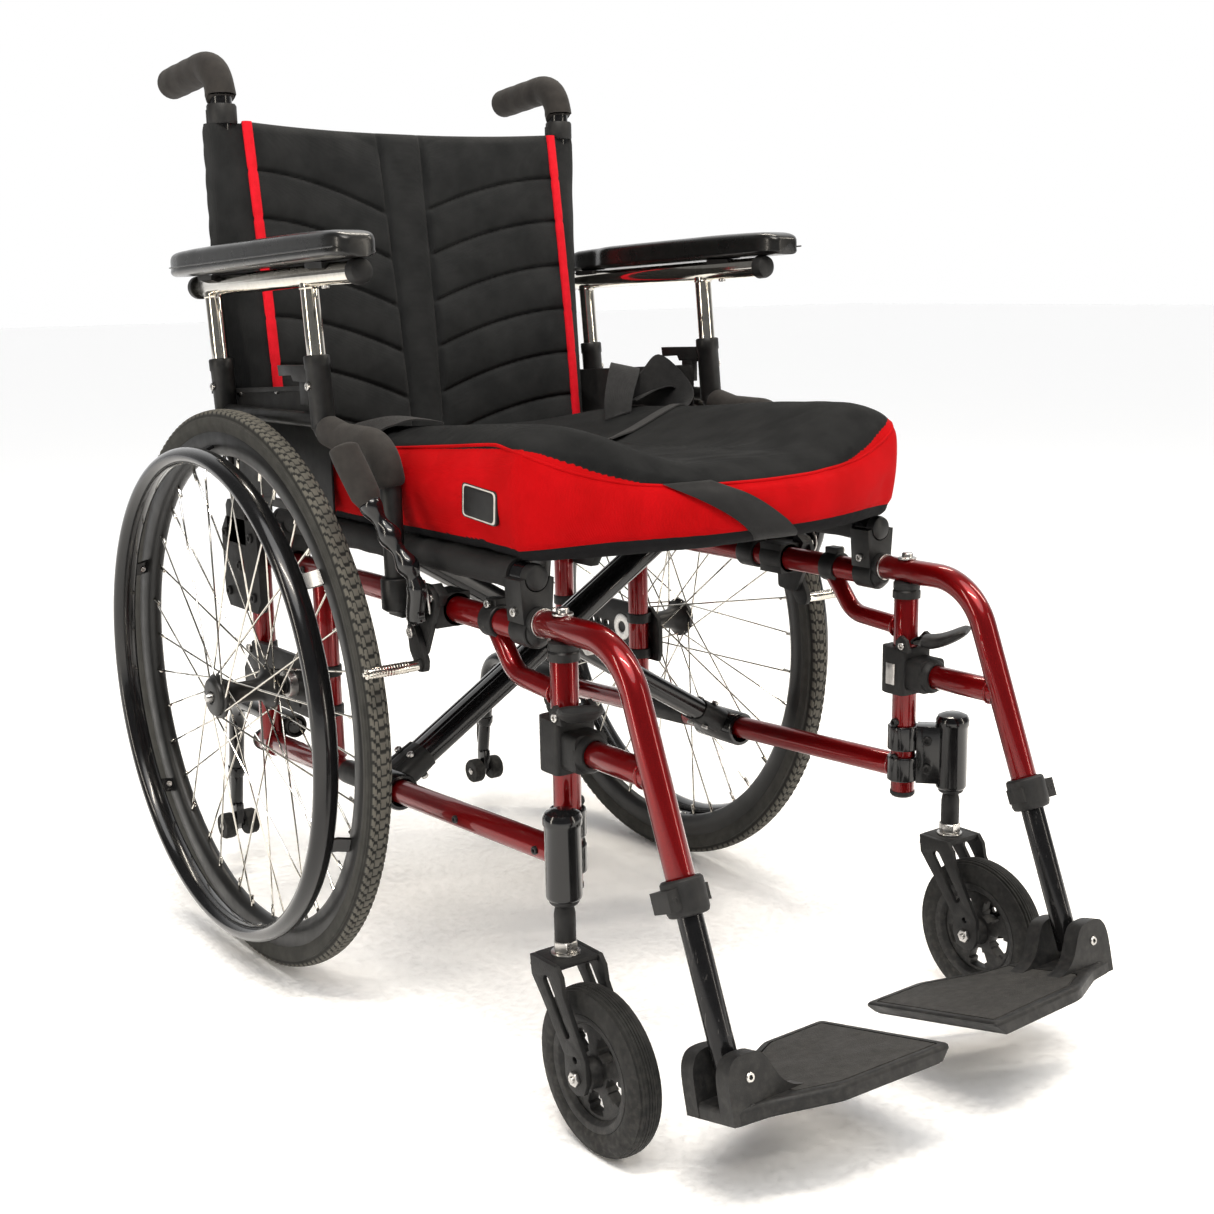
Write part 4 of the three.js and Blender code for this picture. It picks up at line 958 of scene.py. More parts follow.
def add_wheels():
    both("wheel", rear_wheel(), ["rim_black", "chrome"], "rear_wheel", "black_gloss", ["rear_wheel"], sharp=40)
    tyre, block_or_gap = rear_tyre()
    for made in both("tyre", tyre, ["tyre"], "rear_wheel", "tyre_grey", ["rear_tyre"], sharp=50):
        store(made.data, "block_or_gap", block_or_gap)
    both("push_ring", handrim(), ["gloss", "steel"], "rear_wheel", "black_gloss", ["handrim"])
    both("release_button", axle_button(), ["steel"], "axle_button", "steel", ["axle_button"])
    on_frame("caster_barrel", caster_housing(), ["gloss", "satin"], "black_tube", "caster_housing", bevel=0.8)
    both("fork", caster_fork(), ["cast", "steel"], "caster_fork", "black_casting", ["caster_fork"], bevel=0.5)
    both("caster_core", caster_wheel(), ["plastic"], "caster_wheel", "black_plastic", ["caster_wheel"], bevel=0.7)
    both("caster_ring", caster_tyre(), ["caster_rubber"], "caster_wheel", "tyre_black", ["caster_tyre"])


# ---------- hangers and footplates ----------
CROSS_Z = 342  # height of the tube between the hanger and its latch
HANGER_TOP = 445  # height of the hanger tube where it meets the front upright
WING_TURN, PLATE_TILT = 32, 13.3  # degrees
PIN = np.array((214.0, -719.0, 117.0))  # the footplate's pin
TREAD_Z, PLATE_INNER_X = -21.4, -186.5  # measured from the pin


def offset(outline, distance):
    """The outline moved inwards by distance, for one that runs round anticlockwise."""
    moved, n = [], len(outline)
    for i in range(n):
        a, b, c = (np.array(outline[j % n], float) for j in (i - 1, i, i + 1))
        d1, d2 = unit(b - a), unit(c - b)
        n1, n2 = np.array((-d1[1], d1[0])), np.array((-d2[1], d2[0]))
        across = unit(n1 + n2)
        moved.append(tuple(b + across * distance / max(0.4, float(across @ n1))))
    return moved


def corners_cut(outline, radius, steps=5):
    """The outline with its corners rounded."""
    made, n = [], len(outline)
    for i in range(n):
        a, b, c = (np.array((*outline[j % n], 0.0), float) for j in (i - 1, i, i + 1))
        reach = min(radius, 0.45 * np.linalg.norm(a - b), 0.45 * np.linalg.norm(c - b))
        start, end = b + unit(a - b) * reach, b + unit(c - b) * reach
        for k in range(steps + 1):
            t = k / steps
            made.append(tuple(((1 - t) ** 2 * start + 2 * t * (1 - t) * b + t * t * end)[:2]))
    return made


def hanger():
    s = Shape()
    red, black, steel = 0, 1, 2
    s.tube([(SIDE_X, FRONT_Y + 35, HANGER_TOP), (SIDE_X, leg_y(HANGER_TOP), HANGER_TOP), (SIDE_X, leg_y(238), 238)],
           TUBE_R, 66, steps=18, sides=32)
    s.tube([(SIDE_X, -536, CROSS_Z), (SIDE_X, leg_y(CROSS_Z) - 2, CROSS_Z)], 12)
    s.weld((SIDE_X, leg_y(CROSS_Z) + 12, CROSS_Z), (0, 1, 0.03), 12.2)
    s.tube([(SIDE_X, FRONT_Y, 378), (SIDE_X, FRONT_Y, 447)], 8, mat=steel)
    s.lathe([(8, 426.2), (13, 426.2), (13.6, 427.4), (13.6, 433.5), (8, 436)], (SIDE_X, FRONT_Y, 0), Z, 32, black)
    pin = [(0, 456.8), (8.8, 456.8), (9.4, 457.4), (9.4, 458.8), (5.8, 459.4), (5.6, 462.6), (4.4, 463.8), (0, 464.2)]
    s.lathe(pin, (SIDE_X, FRONT_Y, 0), Z, 28, steel, False)
    # end cap with its bright ring
    cap = [(0, -5.5), (7, -5.5), (11, -3.5), (13.4, 0), (13.4, 6), (0, 6)]
    s.lathe(cap, (SIDE_X, FRONT_Y + 37, HANGER_TOP), (0, -1, 0), 32, black, False)
    s.ring((SIDE_X, FRONT_Y + 29, HANGER_TOP), Y, 12.4, 1.0, 1.5, steel)
    # clamp collar with its pinch block and slot
    down = unit((0, -0.4, -1))
    across = np.cross(down, X)
    centre = np.array((SIDE_X, leg_y(250), 250))
    collar = [(12.4, -15), (16.5, -15), (18.3, -13), (18.6, -6), (18.3, 11), (17, 14.5), (14.5, 15.5), (11.5, 15.5)]
    s.lathe(collar, centre, down, 44, black)
    s.plate([(-9, -12), (9, -12), (9, 12), (-9, 12)], 14, 25.5, centre, down, np.cross(X, down), mat=black)
    s.plate([(-7, -10), (7, -10), (7, 10), (-7, 10)], -18.4, -14, centre, down, np.cross(X, down), mat=black)
    s.bolt(centre + across * 10 + np.array((19, 0, 0)), across, 3.6, 2.4, black)
    s.bolt(centre - across * 10 + np.array((19, 0, 0)), -across, 3.6, 2.4, black)
    return s


def hanger_latch():
    s = Shape()
    clear = corners_cut([(SIDE_X - 21, -520), (SIDE_X + 21, -520), (SIDE_X + 21, -494), (SIDE_X + 15, -484),
                         (SIDE_X - 15, -484), (SIDE_X - 21, -494)], 6)
    s.level(clear, 320, 368, holes=[round_hole(SIDE_X, FRONT_Y, 13.2, 32)])
    s.plate(corners_cut([(-17, -17), (17, -17), (17, 17), (-17, 17)], 7), 518, 541, (SIDE_X, 0, CROSS_Z), X, Z)
    s.lathe([(12.3, 0), (18, 0), (17.4, 5), (14.6, 9), (12.3, 9)], (SIDE_X, -538, CROSS_Z), (0, -1, 0), 36)
    for low, high in ((-20, -15.2), (15.2, 20)):
        s.plate([(-508, 366), (-526, 366), (-522, 378), (-514, 382), (-508, 376)], SIDE_X + low, SIDE_X + high)
    for way in (-1, 1):
        s.bolt((SIDE_X + 20 * way, -517, 372), (way, 0, 0), 4, 2.5, 1)
    # the bright strip that holds the catch
    s.plate([(-509, 330), (-497, 330), (-497, 352), (-509, 352)], SIDE_X - 21.8, SIDE_X - 20.8, mat=1)
    return s


def latch_lever():
    """A wing that rises forward and widens to its thumb edge."""
    s = Shape()
    stations = [(-519, 374.4, 10, 3.0), (-524, 376.2, 12, 4.8), (-534, 375.5, 13, 7), (-544, 377.5, 15, 6.2),
                (-553, 381, 18, 5.6), (-561, 385, 20, 5.0), (-567, 388, 19, 4.2), (-571, 389, 16, 2.2)]
    turn = math.radians(WING_TURN)
    reach = [max(0.0, -522 - y) for y, _, _, _ in stations]
    line = smooth_line([(SIDE_X + r * math.sin(turn), y + r * (1 - math.cos(turn)), z)
                        for r, (y, z, _, _) in zip(reach, stations)], 4)
    t = np.linspace(0, len(stations) - 1, len(line))
    wide = np.interp(t, range(len(stations)), [w for _, _, w, _ in stations])
    thick = np.interp(t, range(len(stations)), [h for _, _, _, h in stations])
    rings = []
    for i, p in enumerate(line):
        along = unit(line[min(i + 1, len(line) - 1)] - line[max(i - 1, 0)])
        across = unit(np.cross(Z, -along)) if i > 4 else np.array((1.0, 0, 0))
        up = np.cross(across, along)
        rings.append([p + across * wide[i] * power(c, 0.6) + up * thick[i] * power(d, 0.7)
                      for c, d in circle(1, 20)])
    return s.loft(rings)


def extension_tube():
    return Shape().tube([(SIDE_X, leg_y(278), 278), (SIDE_X, leg_y(108), 108)], 11, sides=32)


def tilted(x, y, z):
    """From the plate's own flat frame, about its pin, to the design frame."""
    tilt = math.radians(PLATE_TILT)
    return (PIN[0] + x, PIN[1] + y * math.cos(tilt) + z * math.sin(tilt),
            PIN[2] - y * math.sin(tilt) + z * math.cos(tilt))


def footplate():
    s = Shape()
    body, tread, steel = 0, 1, 2
    edge = [(PLATE_INNER_X, -69), (-66, -63), (-12, -36), (22, -30), (22, 34), (-6, 38), (-64, 61), (-114, 92),
            (PLATE_INNER_X, 92)]
    outline = corners_cut(edge, 7)
    rim = offset(outline, 4.0)
    s.level(outline, TREAD_Z - 12.5, TREAD_Z - 4.0)
    s.level(offset(outline, 2.5), TREAD_Z - 14.2, TREAD_Z - 11)
    panel_edge = [(-179.5, -61), (-72, -56), (-36, -38), (-36, 46), (-68, 54), (-116, 84), (-179.5, 84)]
    hole = corners_cut(panel_edge, 4)
    ring_low = [(outline, TREAD_Z - 4.0), (offset(outline, 0.6), TREAD_Z - 1.6),
                (offset(outline, 2.2), TREAD_Z - 0.25), (rim, TREAD_Z)]
    n = len(outline)
    points, faces = [], []
    for loop, z in ring_low:
        points += [(x, y, z) for x, y in loop]
    faces += grid_faces(len(ring_low), n)
    base = len(points)
    points += [(x, y, TREAD_Z) for x, y in hole] + [(x, y, TREAD_Z - 4.0) for x, y in hole]
    h = len(hole)
    for t in triangles([rim, hole]):
        faces.append(tuple(((len(ring_low) - 1) * n + i) if i < n else base + i - n for i in t))
    faces += [(base + k, base + (k + 1) % h, base + h + (k + 1) % h, base + h + k) for k in range(h)]
    for t in triangles([outline, hole]):
        faces.append(tuple(i if i < n else base + h + i - n for i in t))
    s.add(points, faces, body)
    inner = offset(hole, 1.3)
    s.level(inner, TREAD_Z - 6, TREAD_Z - 0.5, mat=tread)
    s.level(offset(inner, 0.9), TREAD_Z - 6, TREAD_Z + 0.1, mat=tread)
    # cheeks whose inner ends sweep down to the tread
    curve = [(-62, -1), (-50, 0.8), (-40, 4.5), (-31, 12), (-25, 22), (-20, 31), (-14, 38),
             (-5, 40.5), (8, 40.5), (16, 37), (21, 28), (22.5, 14), (22.5, -12.5)]
    line = smooth_line([(x, TREAD_Z + z, 0) for x, z in curve], 3)
    cheek = [(x, z) for x, z, _ in line] + [(-62, TREAD_Z - 12.5)]
    for near, far in ((15, 31), (-14, -30)):
        s.plate(cheek, near, far, u=X)
    for sign in (-1, 1):
        s.bolt((0, 0.5 + 30.5 * sign, 0), (0, sign, 0), 4.2, 2.2, steel)
        s.bolt((2, 0.5 + 30.5 * sign, TREAD_Z - 3), (0, sign, 0), 3.6, 2.2, body)
    # the inner edge's underside is cut back, so that the two plates pass each other
    cut = [(max(x, PLATE_INNER_X + 1.15 * max(0.0, TREAD_Z - 1.5 - z)) if x < -160 else x, y, z)
           for x, y, z in s.points]
    s.points = [tilted(*p) for p in cut]
    return s


def add_front():
    both("hanger_tube", hanger(), ["red", "plastic", "steel"], "hanger", "frame_red", ["hanger"], bevel=0.6)
    both("latch_casting", hanger_latch(), ["cast", "steel"], "hanger", "black_plastic", ["hanger_latch"], bevel=1.2)
    both("release_wing", latch_lever(), ["plastic"], "latch_lever", "black_plastic", ["latch_lever"])
    both("extension", extension_tube(), ["anodised"], "extension", "black_tube", ["extension_tube"])
    both("foot_plate", footplate(), ["plastic", "tread", "steel"], "footplate", "black_plastic", ["footplate"],
         bevel=1.3, sharp=40)


# ---------- armrests ----------
FRONT_POST_Y, BACK_POST_Y, POST_LEAN = -139, 94, 0.1045  # a post's Y at a height of 700 mm, and its slope
PAD_FRONT, PAD_BACK = -267.0, 142.0


def post_point(y700, z):
    return (ARM_X, y700 + POST_LEAN * (z - 700), z)


def arm_rail():
    s = Shape()
    chrome, black, steel = 0, 1, 2
    s.tube([(ARM_X, 132, arm_z(132)), (ARM_X, -238, arm_z(-238))], 10.6, sides=32)
    for y, way in ((136, 1), (-242, -1)):
        s.lathe([(0, 7), (7, 6.6), (11.2, 4), (12.4, 1), (12.6, -7), (0, -7)], (ARM_X, y, arm_z(y)),
                (0, way, -ARM_RISE * way), 36, black, False)
    for y, low, high in ((FRONT_POST_Y, 615, arm_z(-136) - 6), (BACK_POST_Y, 600, arm_z(97) - 6)):
        s.tube([post_point(y, low), post_point(y, high)], 9.4, sides=28)
        s.weld(post_point(y, arm_z(y) - 11.5), (0, POST_LEAN, 1), 9.3, 1.2)
    for y in (-170, 90):
        z = arm_z(y)
        s.block(ARM_X - 8, ARM_X + 12, y - 18, y + 18, z + 6, z + 11.8, black)
        s.bolt((ARM_X, y, z - 10), (0, 0, -1), 4, 3, steel)
    return s


def arm_pad():
    """A self-skinned pad: a soft oblong section, drawn in at both ends and thinned past the back post."""
    s = Shape()
    rings = []
    for k in range(64):
        t = k / 63
        y = PAD_FRONT + (PAD_BACK - PAD_FRONT) * (0.5 - 0.5 * math.cos(math.pi * t))
        into = min(y - PAD_FRONT, PAD_BACK - y)
        round_end = math.sqrt(max(0.0, 1 - (1 - min(1, into / 30)) ** 2.2)) if into < 30 else 1.0
        round_end = max(round_end, 0.05)
        inner = 237 + 9 * min(1, max(0, (y - 46) / 26)) + (5 * max(0, (y - 118) / 24))
        outer = 287.5 - 3 * min(1, max(0, (y - 100) / 40))
        middle, half = (inner + outer) / 2, (outer - inner) / 2 * (0.42 + 0.58 * round_end)
        low, high = 11.9, 36.5 - 9 * (1 - round_end) + 2.5 * math.sin(math.pi * min(1, into / 120) / 2)
        ring = []
        for c, d in circle(1, 40):
            # the upper two thirds are drawn in a little over a flange that runs round the bottom
            wide = half * (1.0 if d < -0.25 else 0.955)
            z = (low + high) / 2 + (high - low) / 2 * power(d, 0.5)
            ring.append((middle + wide * power(c, 0.42), y, arm_z(y) + z))
        rings.append(ring)
    s.loft(rings)
    # parting line along the pad's outer side
    path = [(286.9 - 3 * min(1, max(0, (y - 100) / 40)), y, arm_z(y) + 21) for y in np.linspace(-262, 128, 60)]
    return s.sweep(path, circle(0.8, 8))


def arm_receiver():
    s = Shape()
    foam, black, steel = 0, 1, 2
    for y, high, low in ((FRONT_POST_Y, 668, 596), (BACK_POST_Y, 658, 588)):
        a, b = np.array(post_point(y, high)), np.array(post_point(y, low))
        axis = unit(b - a)
        length = float(np.linalg.norm(b - a))
        s.lathe([(9.9, 0), (12.2, 0), (13.2, 1.5), (13.2, 12), (12.3, 13.5), (12.3, length - 1), (11, length),
                 (9.9, length)], a, axis, 36, black)
        s.bolt(a + axis * 30 + np.array((12, 0, 0)), X, 4.2, 3, steel)
    s.tube([post_point(FRONT_POST_Y, 640), (ARM_X, -150, 592), (ARM_X - 2, -196, 588)], 12.0, 18, mat=black)
    corners = [(ARM_X, -156, 596), (ARM_X - 1, -190, 589), (ARM_X - 2, -262, 588), (ARM_X - 5, -270, 548)]
    grip = rounded(corners, 28, 12)
    s.tube(grip, 15.4, mat=foam, sides=32, end=6)
    s.tube([(ARM_X - 5, -270, 556), (ARM_X - 7, -268, 450)], 10.2, mat=black)
    s.lathe([(10, 0), (13.5, 0), (14.5, 2), (14.5, 30), (10, 33)], (ARM_X - 7, -268, 462), (0, 0, -1), 36, black)
    s.block(225.5, 245, -281, -255, 424, 462, black)
    s.ring((SIDE_X, -268, UPPER_Z), Y, 12.4, 4, 26, black)
    s.bolt((238, -286, 446), (0, -1, 0), 4, 3, steel)
    s.tube([post_point(FRONT_POST_Y, 604), post_point(BACK_POST_Y, 602)], 7.5, mat=black)
    # catch on the front post
    s.plate([(-130, 641), (-96, 641), (-92, 647), (-64, 645), (-62, 656), (-130, 658)], 245, 255, mat=black)
    s.plate([(-122, 618), (-104, 618), (-104, 642), (-122, 642)], 243, 252, mat=black)
    return s


def side_guard():
    s = Shape()
    edge = corners_cut([(-134, 502), (58, 502), (146, 562), (146, 622), (-134, 638)], 10)
    slots = [corners_cut([(y, 512), (y + 46, 512), (y + 46, 519), (y, 519)], 3) for y in (-112, -40)]
    s.plate(edge, 234.5, 237.0, holes=slots)
    s.plate([(-132, 633), (144, 617), (144, 622), (-132, 638)], 237.0, 240.5)
    for y in (-126, -20, 70):
        s.bolt((237, y, 626 - 0.06 * y), X, 3.4, 2, 1)
    return s


# ---------- wheel locks ----------
def lock_bracket():
    s = Shape()
    s.block(198, 235.5, -329, -295, 420, 452)
    s.ring((SIDE_X, -312, UPPER_Z), Y, 12.4, 4.2, 34)
    cheek = [(-338, 444), (-312, 392), (-284, 396), (-281, 450), (-292, 463), (-330, 458)]
    s.plate(corners_cut(cheek, 4), 235, 240.5)
    s.plate(corners_cut([(-336, 452), (-322, 430), (-318, 452), (-322, 463)], 3), 225, 235)
    for y, z, x in ((-318, 436, 256), (-300, 414, 247)):
        s.tube([(240, y, z), (x, y, z)], 3.9, mat=1)
        s.bolt((x, y, z), X, 5.6, 2.6, 1)
    s.bolt((235, -304, 446), X, 4.4, 8, 1)
    s.bolt((240.5, -330, 450), X, 3.6, 2.4, 1)
    spring = smooth_line([(243, -322, 466), (246, -330, 462), (246, -334, 448), (243, -330, 436)], 5)
    return s.sweep(spring, circle(1.3, 8), 1)


def lock_lever():
    s = Shape()
    gloss, foam = 0, 1
    points = [(250.5, -318, 428), (250.8, -319, 440), (252.5, -325, 458), (256, -323, 474), (262, -317, 490),
              (268, -307, 508), (275, -298, 526), (281, -289, 544), (287, -276, 570)]
    line = smooth_line(points, 8)
    sizes = []
    for k, p in enumerate(line):
        wave = 0.24 * math.cos((p[2] - 482) / 27 * 2 * math.pi) if 462 < p[2] < 540 else 0
        sizes.append((1.0 if p[2] > 470 else 1.1) + wave)
    sizes[0] = 0.6
    s.sweep(line, [(8.0 * power(c, 0.8), 10.0 * d) for c, d in circle(1, 24)], gloss, side=X, sizes=sizes)
    boss = [(4.3, 248.3), (11, 248.3), (12, 249.3), (12, 254.4), (11, 255.4), (4.3, 255.4)]
    s.lathe(boss, (0, -318, 436), X, 32, gloss)
    grip = smooth_line([(279.5, -292, 539), (284, -283, 558), (289, -270, 582), (290.5, -265.5, 592)], 8)
    sizes = []
    for k in range(len(grip)):
        t = k / (len(grip) - 1)
        round_end = math.sqrt(max(0.0, 1 - max(0, (t - 0.8) / 0.2) ** 2.2)) + 0.02
        sizes.append(max(0.12, min(1.0, 0.8 + 1.6 * t, round_end)) * (1.0 + 0.06 * math.sin(math.pi * t)))
    return s.sweep(grip, circle(13.6, 28), foam, sizes=sizes)


PEG = (-316, 385)  # the middle of the bar that presses on the tyre, in Y and Z


def lock_shoe():
    s = Shape()
    arm = [(-293, 421), (-307, 421), (-325, 390), (-323, 379), (-310, 377), (-296, 396)]
    s.plate(corners_cut(arm, 4), 241.6, 247.2, mat=1)
    s.tube([(242, *PEG), (304, *PEG)], 5.2, sides=24)
    for x in np.linspace(262, 300, 14):
        s.ring((x, *PEG), X, 4.9, 0.75, 1.3, 0, 20)
    s.bolt((304, *PEG), X, 5.6, 2.0, 0, "hex")
    s.bolt((247.2, *PEG), X, 6.4, 4, 1, "hex")
    return s


# ---------- anti-tip ----------
def anti_tip_tube():
    s = Shape()
    black, steel = 0, 1
    s.tube([(TIP_X, REAR_Y - 13, TIP_TUBE_Z), (TIP_X, 262, TIP_TUBE_Z), (TIP_X, 279, 124)], 9.8, 40, mat=black,
           sides=28)
    s.tube([(TIP_X, 276.6, 138), (TIP_X, 285.4, 84)], 8.2, mat=black)
    s.ring((TIP_X, 277.4, 133), unit((0, 17, -104)), 9.6, 1.6, 9, black)
    s.plate([(-8.5, 0), (8.5, 0), (8.5, -26), (0, -36), (-8.5, -26)], -5, 5, (TIP_X, TIP_Y, 86), Y, Z, mat=black,
            holes=[round_hole(0, -28, 4.7, 16)])
    spring = smooth_line([(TIP_X, y, z) for y, z in ((268, 186), (281, 170), (290, 140), (293, 112), (292, 96))], 6)
    s.sweep(spring, [(5, 0.6), (-5, 0.6), (-5, -0.6), (5, -0.6)], steel, side=X)
    for z in (96, 108, 120):
        s.bolt((TIP_X, 285 + (96 - z) * 0.16 + 7.5, z), (0, 1, 0.1), 2.6, 2, steel)
    return s


def anti_tip_wheels():
    s = Shape()
    rubber, steel = 0, 1
    for low, high, way in ((7.5, 22.5, 1), (-22.5, -7.5, -1)):
        s.lathe([(4, low + 1), (9, low), (15, low), (16.3, low + 2), (16.5, (low + high) / 2), (16.3, high - 2),
                 (15, high), (9, high), (4, high - 1)], (TIP_X, TIP_Y, TIP_WHEEL_Z), X, 40, rubber)
        s.lathe([(0, 0), (4.4, 0), (4.6, 1.2), (3, 2.4), (0, 2.6)], (TIP_X + 21.7 * way, TIP_Y, TIP_WHEEL_Z),
                (way, 0, 0), 20, steel, False)
    s.tube([(TIP_X - 20, TIP_Y, TIP_WHEEL_Z), (TIP_X + 20, TIP_Y, TIP_WHEEL_Z)], 4.1, mat=steel)
    return s


# ---------- scissor brace and seat rails ----------
BRACE_LOW_Z = 224.0


def brace(y, sleeve_side, bolt):
    s = Shape()
    black, cap, steel = 0, 1, 2
    low, high = np.array((sleeve_side * SIDE_X, y, BRACE_LOW_Z)), np.array((-sleeve_side * SIDE_X, y, RAIL_Z))
    along = unit(high - low)
    section = []
    for c, d in circle(1, 72):
        px, py = 12 * power(c, 0.62), 20 * power(d, 0.8)
        for groove in (-7.5, 7.5):
            if abs(py - groove) < 2.2 and abs(px) > 6:
                px -= math.copysign(1.7 * (1 - abs(py - groove) / 2.2), px)
        section.append((px, py))
    across = np.cross(Y, along)
    s.sweep([low + along * 18, (low + high) / 2, high - along * 10], section, black, side=across)
    s.lathe([(15.2, -34), (18.2, -34), (19.4, -32), (19.4, 32), (18.2, 34), (15.2, 34)], low, Y, 44, black)
    collar = [(px * 1.22, py * 1.14) for px, py in section]
    s.sweep([low + along * d for d in (12, 34, 52)], collar, cap, side=across, sizes=[1.0, 1.0, 0.93])
    for dy in (-13, 13):
        for way in (1, -1):
            s.bolt(low + along * 36 + np.array((0, dy, 0)) + across * 14.2 * way, across * way, 4, 3, steel)
    s.tube([(high[0], -461, RAIL_Z), (high[0], 38, RAIL_Z)], 12, mat=black, sides=32)
    for end, way in ((-462, -1), (39, 1)):
        s.lathe([(0, 5.5), (8.5, 5.3), (11.4, 3.6), (12.6, 0), (12.6, -5), (0, -5)], (high[0], end, RAIL_Z),
                (0, way, 0), 36, cap, False)
    s.weld(high - along * 12.5, along, 14.5, 2.0, black)
    for ry in (-400, -290, -120, -20):
        s.bolt((high[0], ry, RAIL_Z + 11.4), Z, 4.4, 1.6, steel)
    middle_z = (BRACE_LOW_Z + RAIL_Z) / 2
    if bolt:
        s.tube([(0, -142, middle_z), (0, -242, middle_z)], 6, mat=steel)
        for end, way in ((-142, 1), (-242, -1)):
            s.bolt((0, end, middle_z), (0, way, 0), 10, 6, steel, "hex")
        s.ring((0, -192, middle_z), Y, 6.2, 6, 3, cap)
    return s


def add_sides():
    both("arm_tube", arm_rail(), ["chrome", "plastic", "steel"], "armrest", "chrome", ["arm_rail"])
    both("arm_rest_pad", arm_pad(), ["moulded"], "armrest", "black_moulded", ["arm_pad"], sharp=50)
    on_frame("arm_socket", arm_receiver(), ["foam", "satin", "steel"], "grip_foam", "arm_receiver", bevel=0.5)
    on_frame("clothes_guard", side_guard(), ["plastic", "steel"], "black_plastic", "side_guard", bevel=0.5)
    on_frame("lock_mount", lock_bracket(), ["cast", "steel"], "black_casting", "lock_bracket", bevel=0.8)
    both("brake_lever", lock_lever(), ["gloss", "foam"], "lock_lever", "black_tube", ["lock_lever"])
    both("brake_shoe", lock_shoe(), ["chrome", "cast"], "lock_shoe", "steel", ["lock_shoe"], bevel=0.3)
    both("tip_tube", anti_tip_tube(), ["gloss", "steel"], "anti_tip", "black_tube", ["anti_tip_tube"], bevel=0.3)
    both("tip_wheels", anti_tip_wheels(), ["caster_rubber", "steel"], "anti_tip_wheels", "tyre_black",
         ["anti_tip_wheels"])
    for side, y, sign in (("right", -170, -1), ("left", -214, 1)):
        build(f"cross_bar_{side}", brace(y, sign, side == "right"), ["gloss", "satin", "steel"], f"brace_{side}",
              "black_tube", [f"brace_{side}"])


# ---------- seat cushion ----------
SEAT_MIDDLE_Y, CUSHION_LOW, SIDE_START = -270.0, 499.0, 530
CUSHION_CLEAR = 499.3  # the underside stays above the seat rails, which pass beneath it while the chair folds
NOWHERE = -50  # a distance that no seam's groove or colour reaches


def bezier(a, b, c, steps):
    a, b, c = np.array(a), np.array(b), np.array(c)
    return [(1 - t) ** 2 * a + 2 * t * (1 - t) * b + t * t * c for t in np.linspace(0, 1, steps)[:-1]]


def cushion_plan():
    """The cushion's outline seen from above, from the rear right corner round the front."""
    half, rear, front = 233.0, -24.0, -462.0
    points = bezier((-half + 22, rear), (-half, rear), (-half, rear - 22), 6)
    points += [np.array((-half, y)) for y in np.linspace(rear - 22, front, 60)[:-1]]
    points += bezier((-half, front), (-half + 8, front - 22), (-half + 36, front - 30), 10)
    points += bezier((-half + 36, front - 30), (0, -585), (half - 36, front - 30), 70)
    points += bezier((half - 36, front - 30), (half - 8, front - 22), (half, front), 10)
    points += [np.array((half, y)) for y in np.linspace(front, rear - 22, 60)[:-1]]
    points += bezier((half, rear - 22), (half, rear), (half - 22, rear), 6)
    points += [np.array((x, rear)) for x in np.linspace(half - 22, -half + 22, 60)[:-1]]
    return np.array(points)


SEAM_FRONT = ([0, 60, 100, 125, 150, 175, 197, 215, 233], [556.5, 557, 559.5, 562.5, 568.5, 576.5, 586, 593, 597])
SEAM_SIDE = ([-470, -447, -365, -246, -150, -22], [597.5, 596.5, 590.5, 582.5, 577, 572])
CREST = ([-560, -520, -490, -440, -340, -200, -22], [566, 592, 608, 615, 609, 597, 589])
MIDDLE = ([-560, -535, -500, -430, -300, -150, -22], [556, 565, 572, 574, 567, 564, 584])


def seam_height(x, y):
    front = np.interp(np.abs(x), *SEAM_FRONT)
    side = np.interp(y, *SEAM_SIDE)
    return np.where(y < -470, front, np.where(np.abs(x) > 232, side, np.maximum(side, 0)))


def border_height(y):
    return np.interp(y, [-500, -455, -60, -22], [513, 507, 505, 508])


def cushion_top(x, y):
    rise = np.clip((np.abs(x) - 50) / 132, 0, 1)
    rise = rise * rise * (3 - 2 * rise)
    return np.interp(y, *MIDDLE) * (1 - rise) + np.interp(y, *CREST) * rise


def cushion_form(inset):
    plan = cushion_plan()
    centre = np.array((0.0, SEAT_MIDDLE_Y))
    n = len(plan)
    seam = seam_height(plan[:, 0], plan[:, 1])
    outward = np.array([unit(plan[(i + 1) % n] - plan[i - 1]) for i in range(n)])
    outward = np.stack([outward[:, 1], -outward[:, 0]], 1)
    if ((plan[0] - centre) @ outward[0]) < 0:
        outward = -outward
    rings, bottom = [], CUSHION_LOW
    for level in (0.0, 0.3, 0.6, 0.8, 0.9, 0.96):
        rings.append(np.column_stack([centre + (plan - outward * inset - centre) * level, np.full(n, bottom)]))
    for k in range(9):
        t = k / 8
        bulge = 4.0 * math.sin(math.pi * t) - (5.0 if k in (0, 8) else 0)
        z = bottom + inset * 0.5 + (seam - inset * 0.5 - bottom) * t
        rings.append(np.column_stack([plan + outward * (bulge - inset), z]))
    for level in (0.975, 0.94, 0.9, 0.85, 0.8, 0.74, 0.66, 0.58, 0.5, 0.4, 0.3, 0.2, 0.1, 0.0):
        at = centre + (plan - outward * inset - centre) * level
        top = cushion_top(at[:, 0], at[:, 1]) - inset
        near = np.clip((1 - level) / 0.12, 0, 1) ** 0.55
        rings.append(np.column_stack([at, seam * (1 - near) + top * near]))
    points = np.vstack(rings)
    return Shape().add(points, grid_faces(len(rings), n))


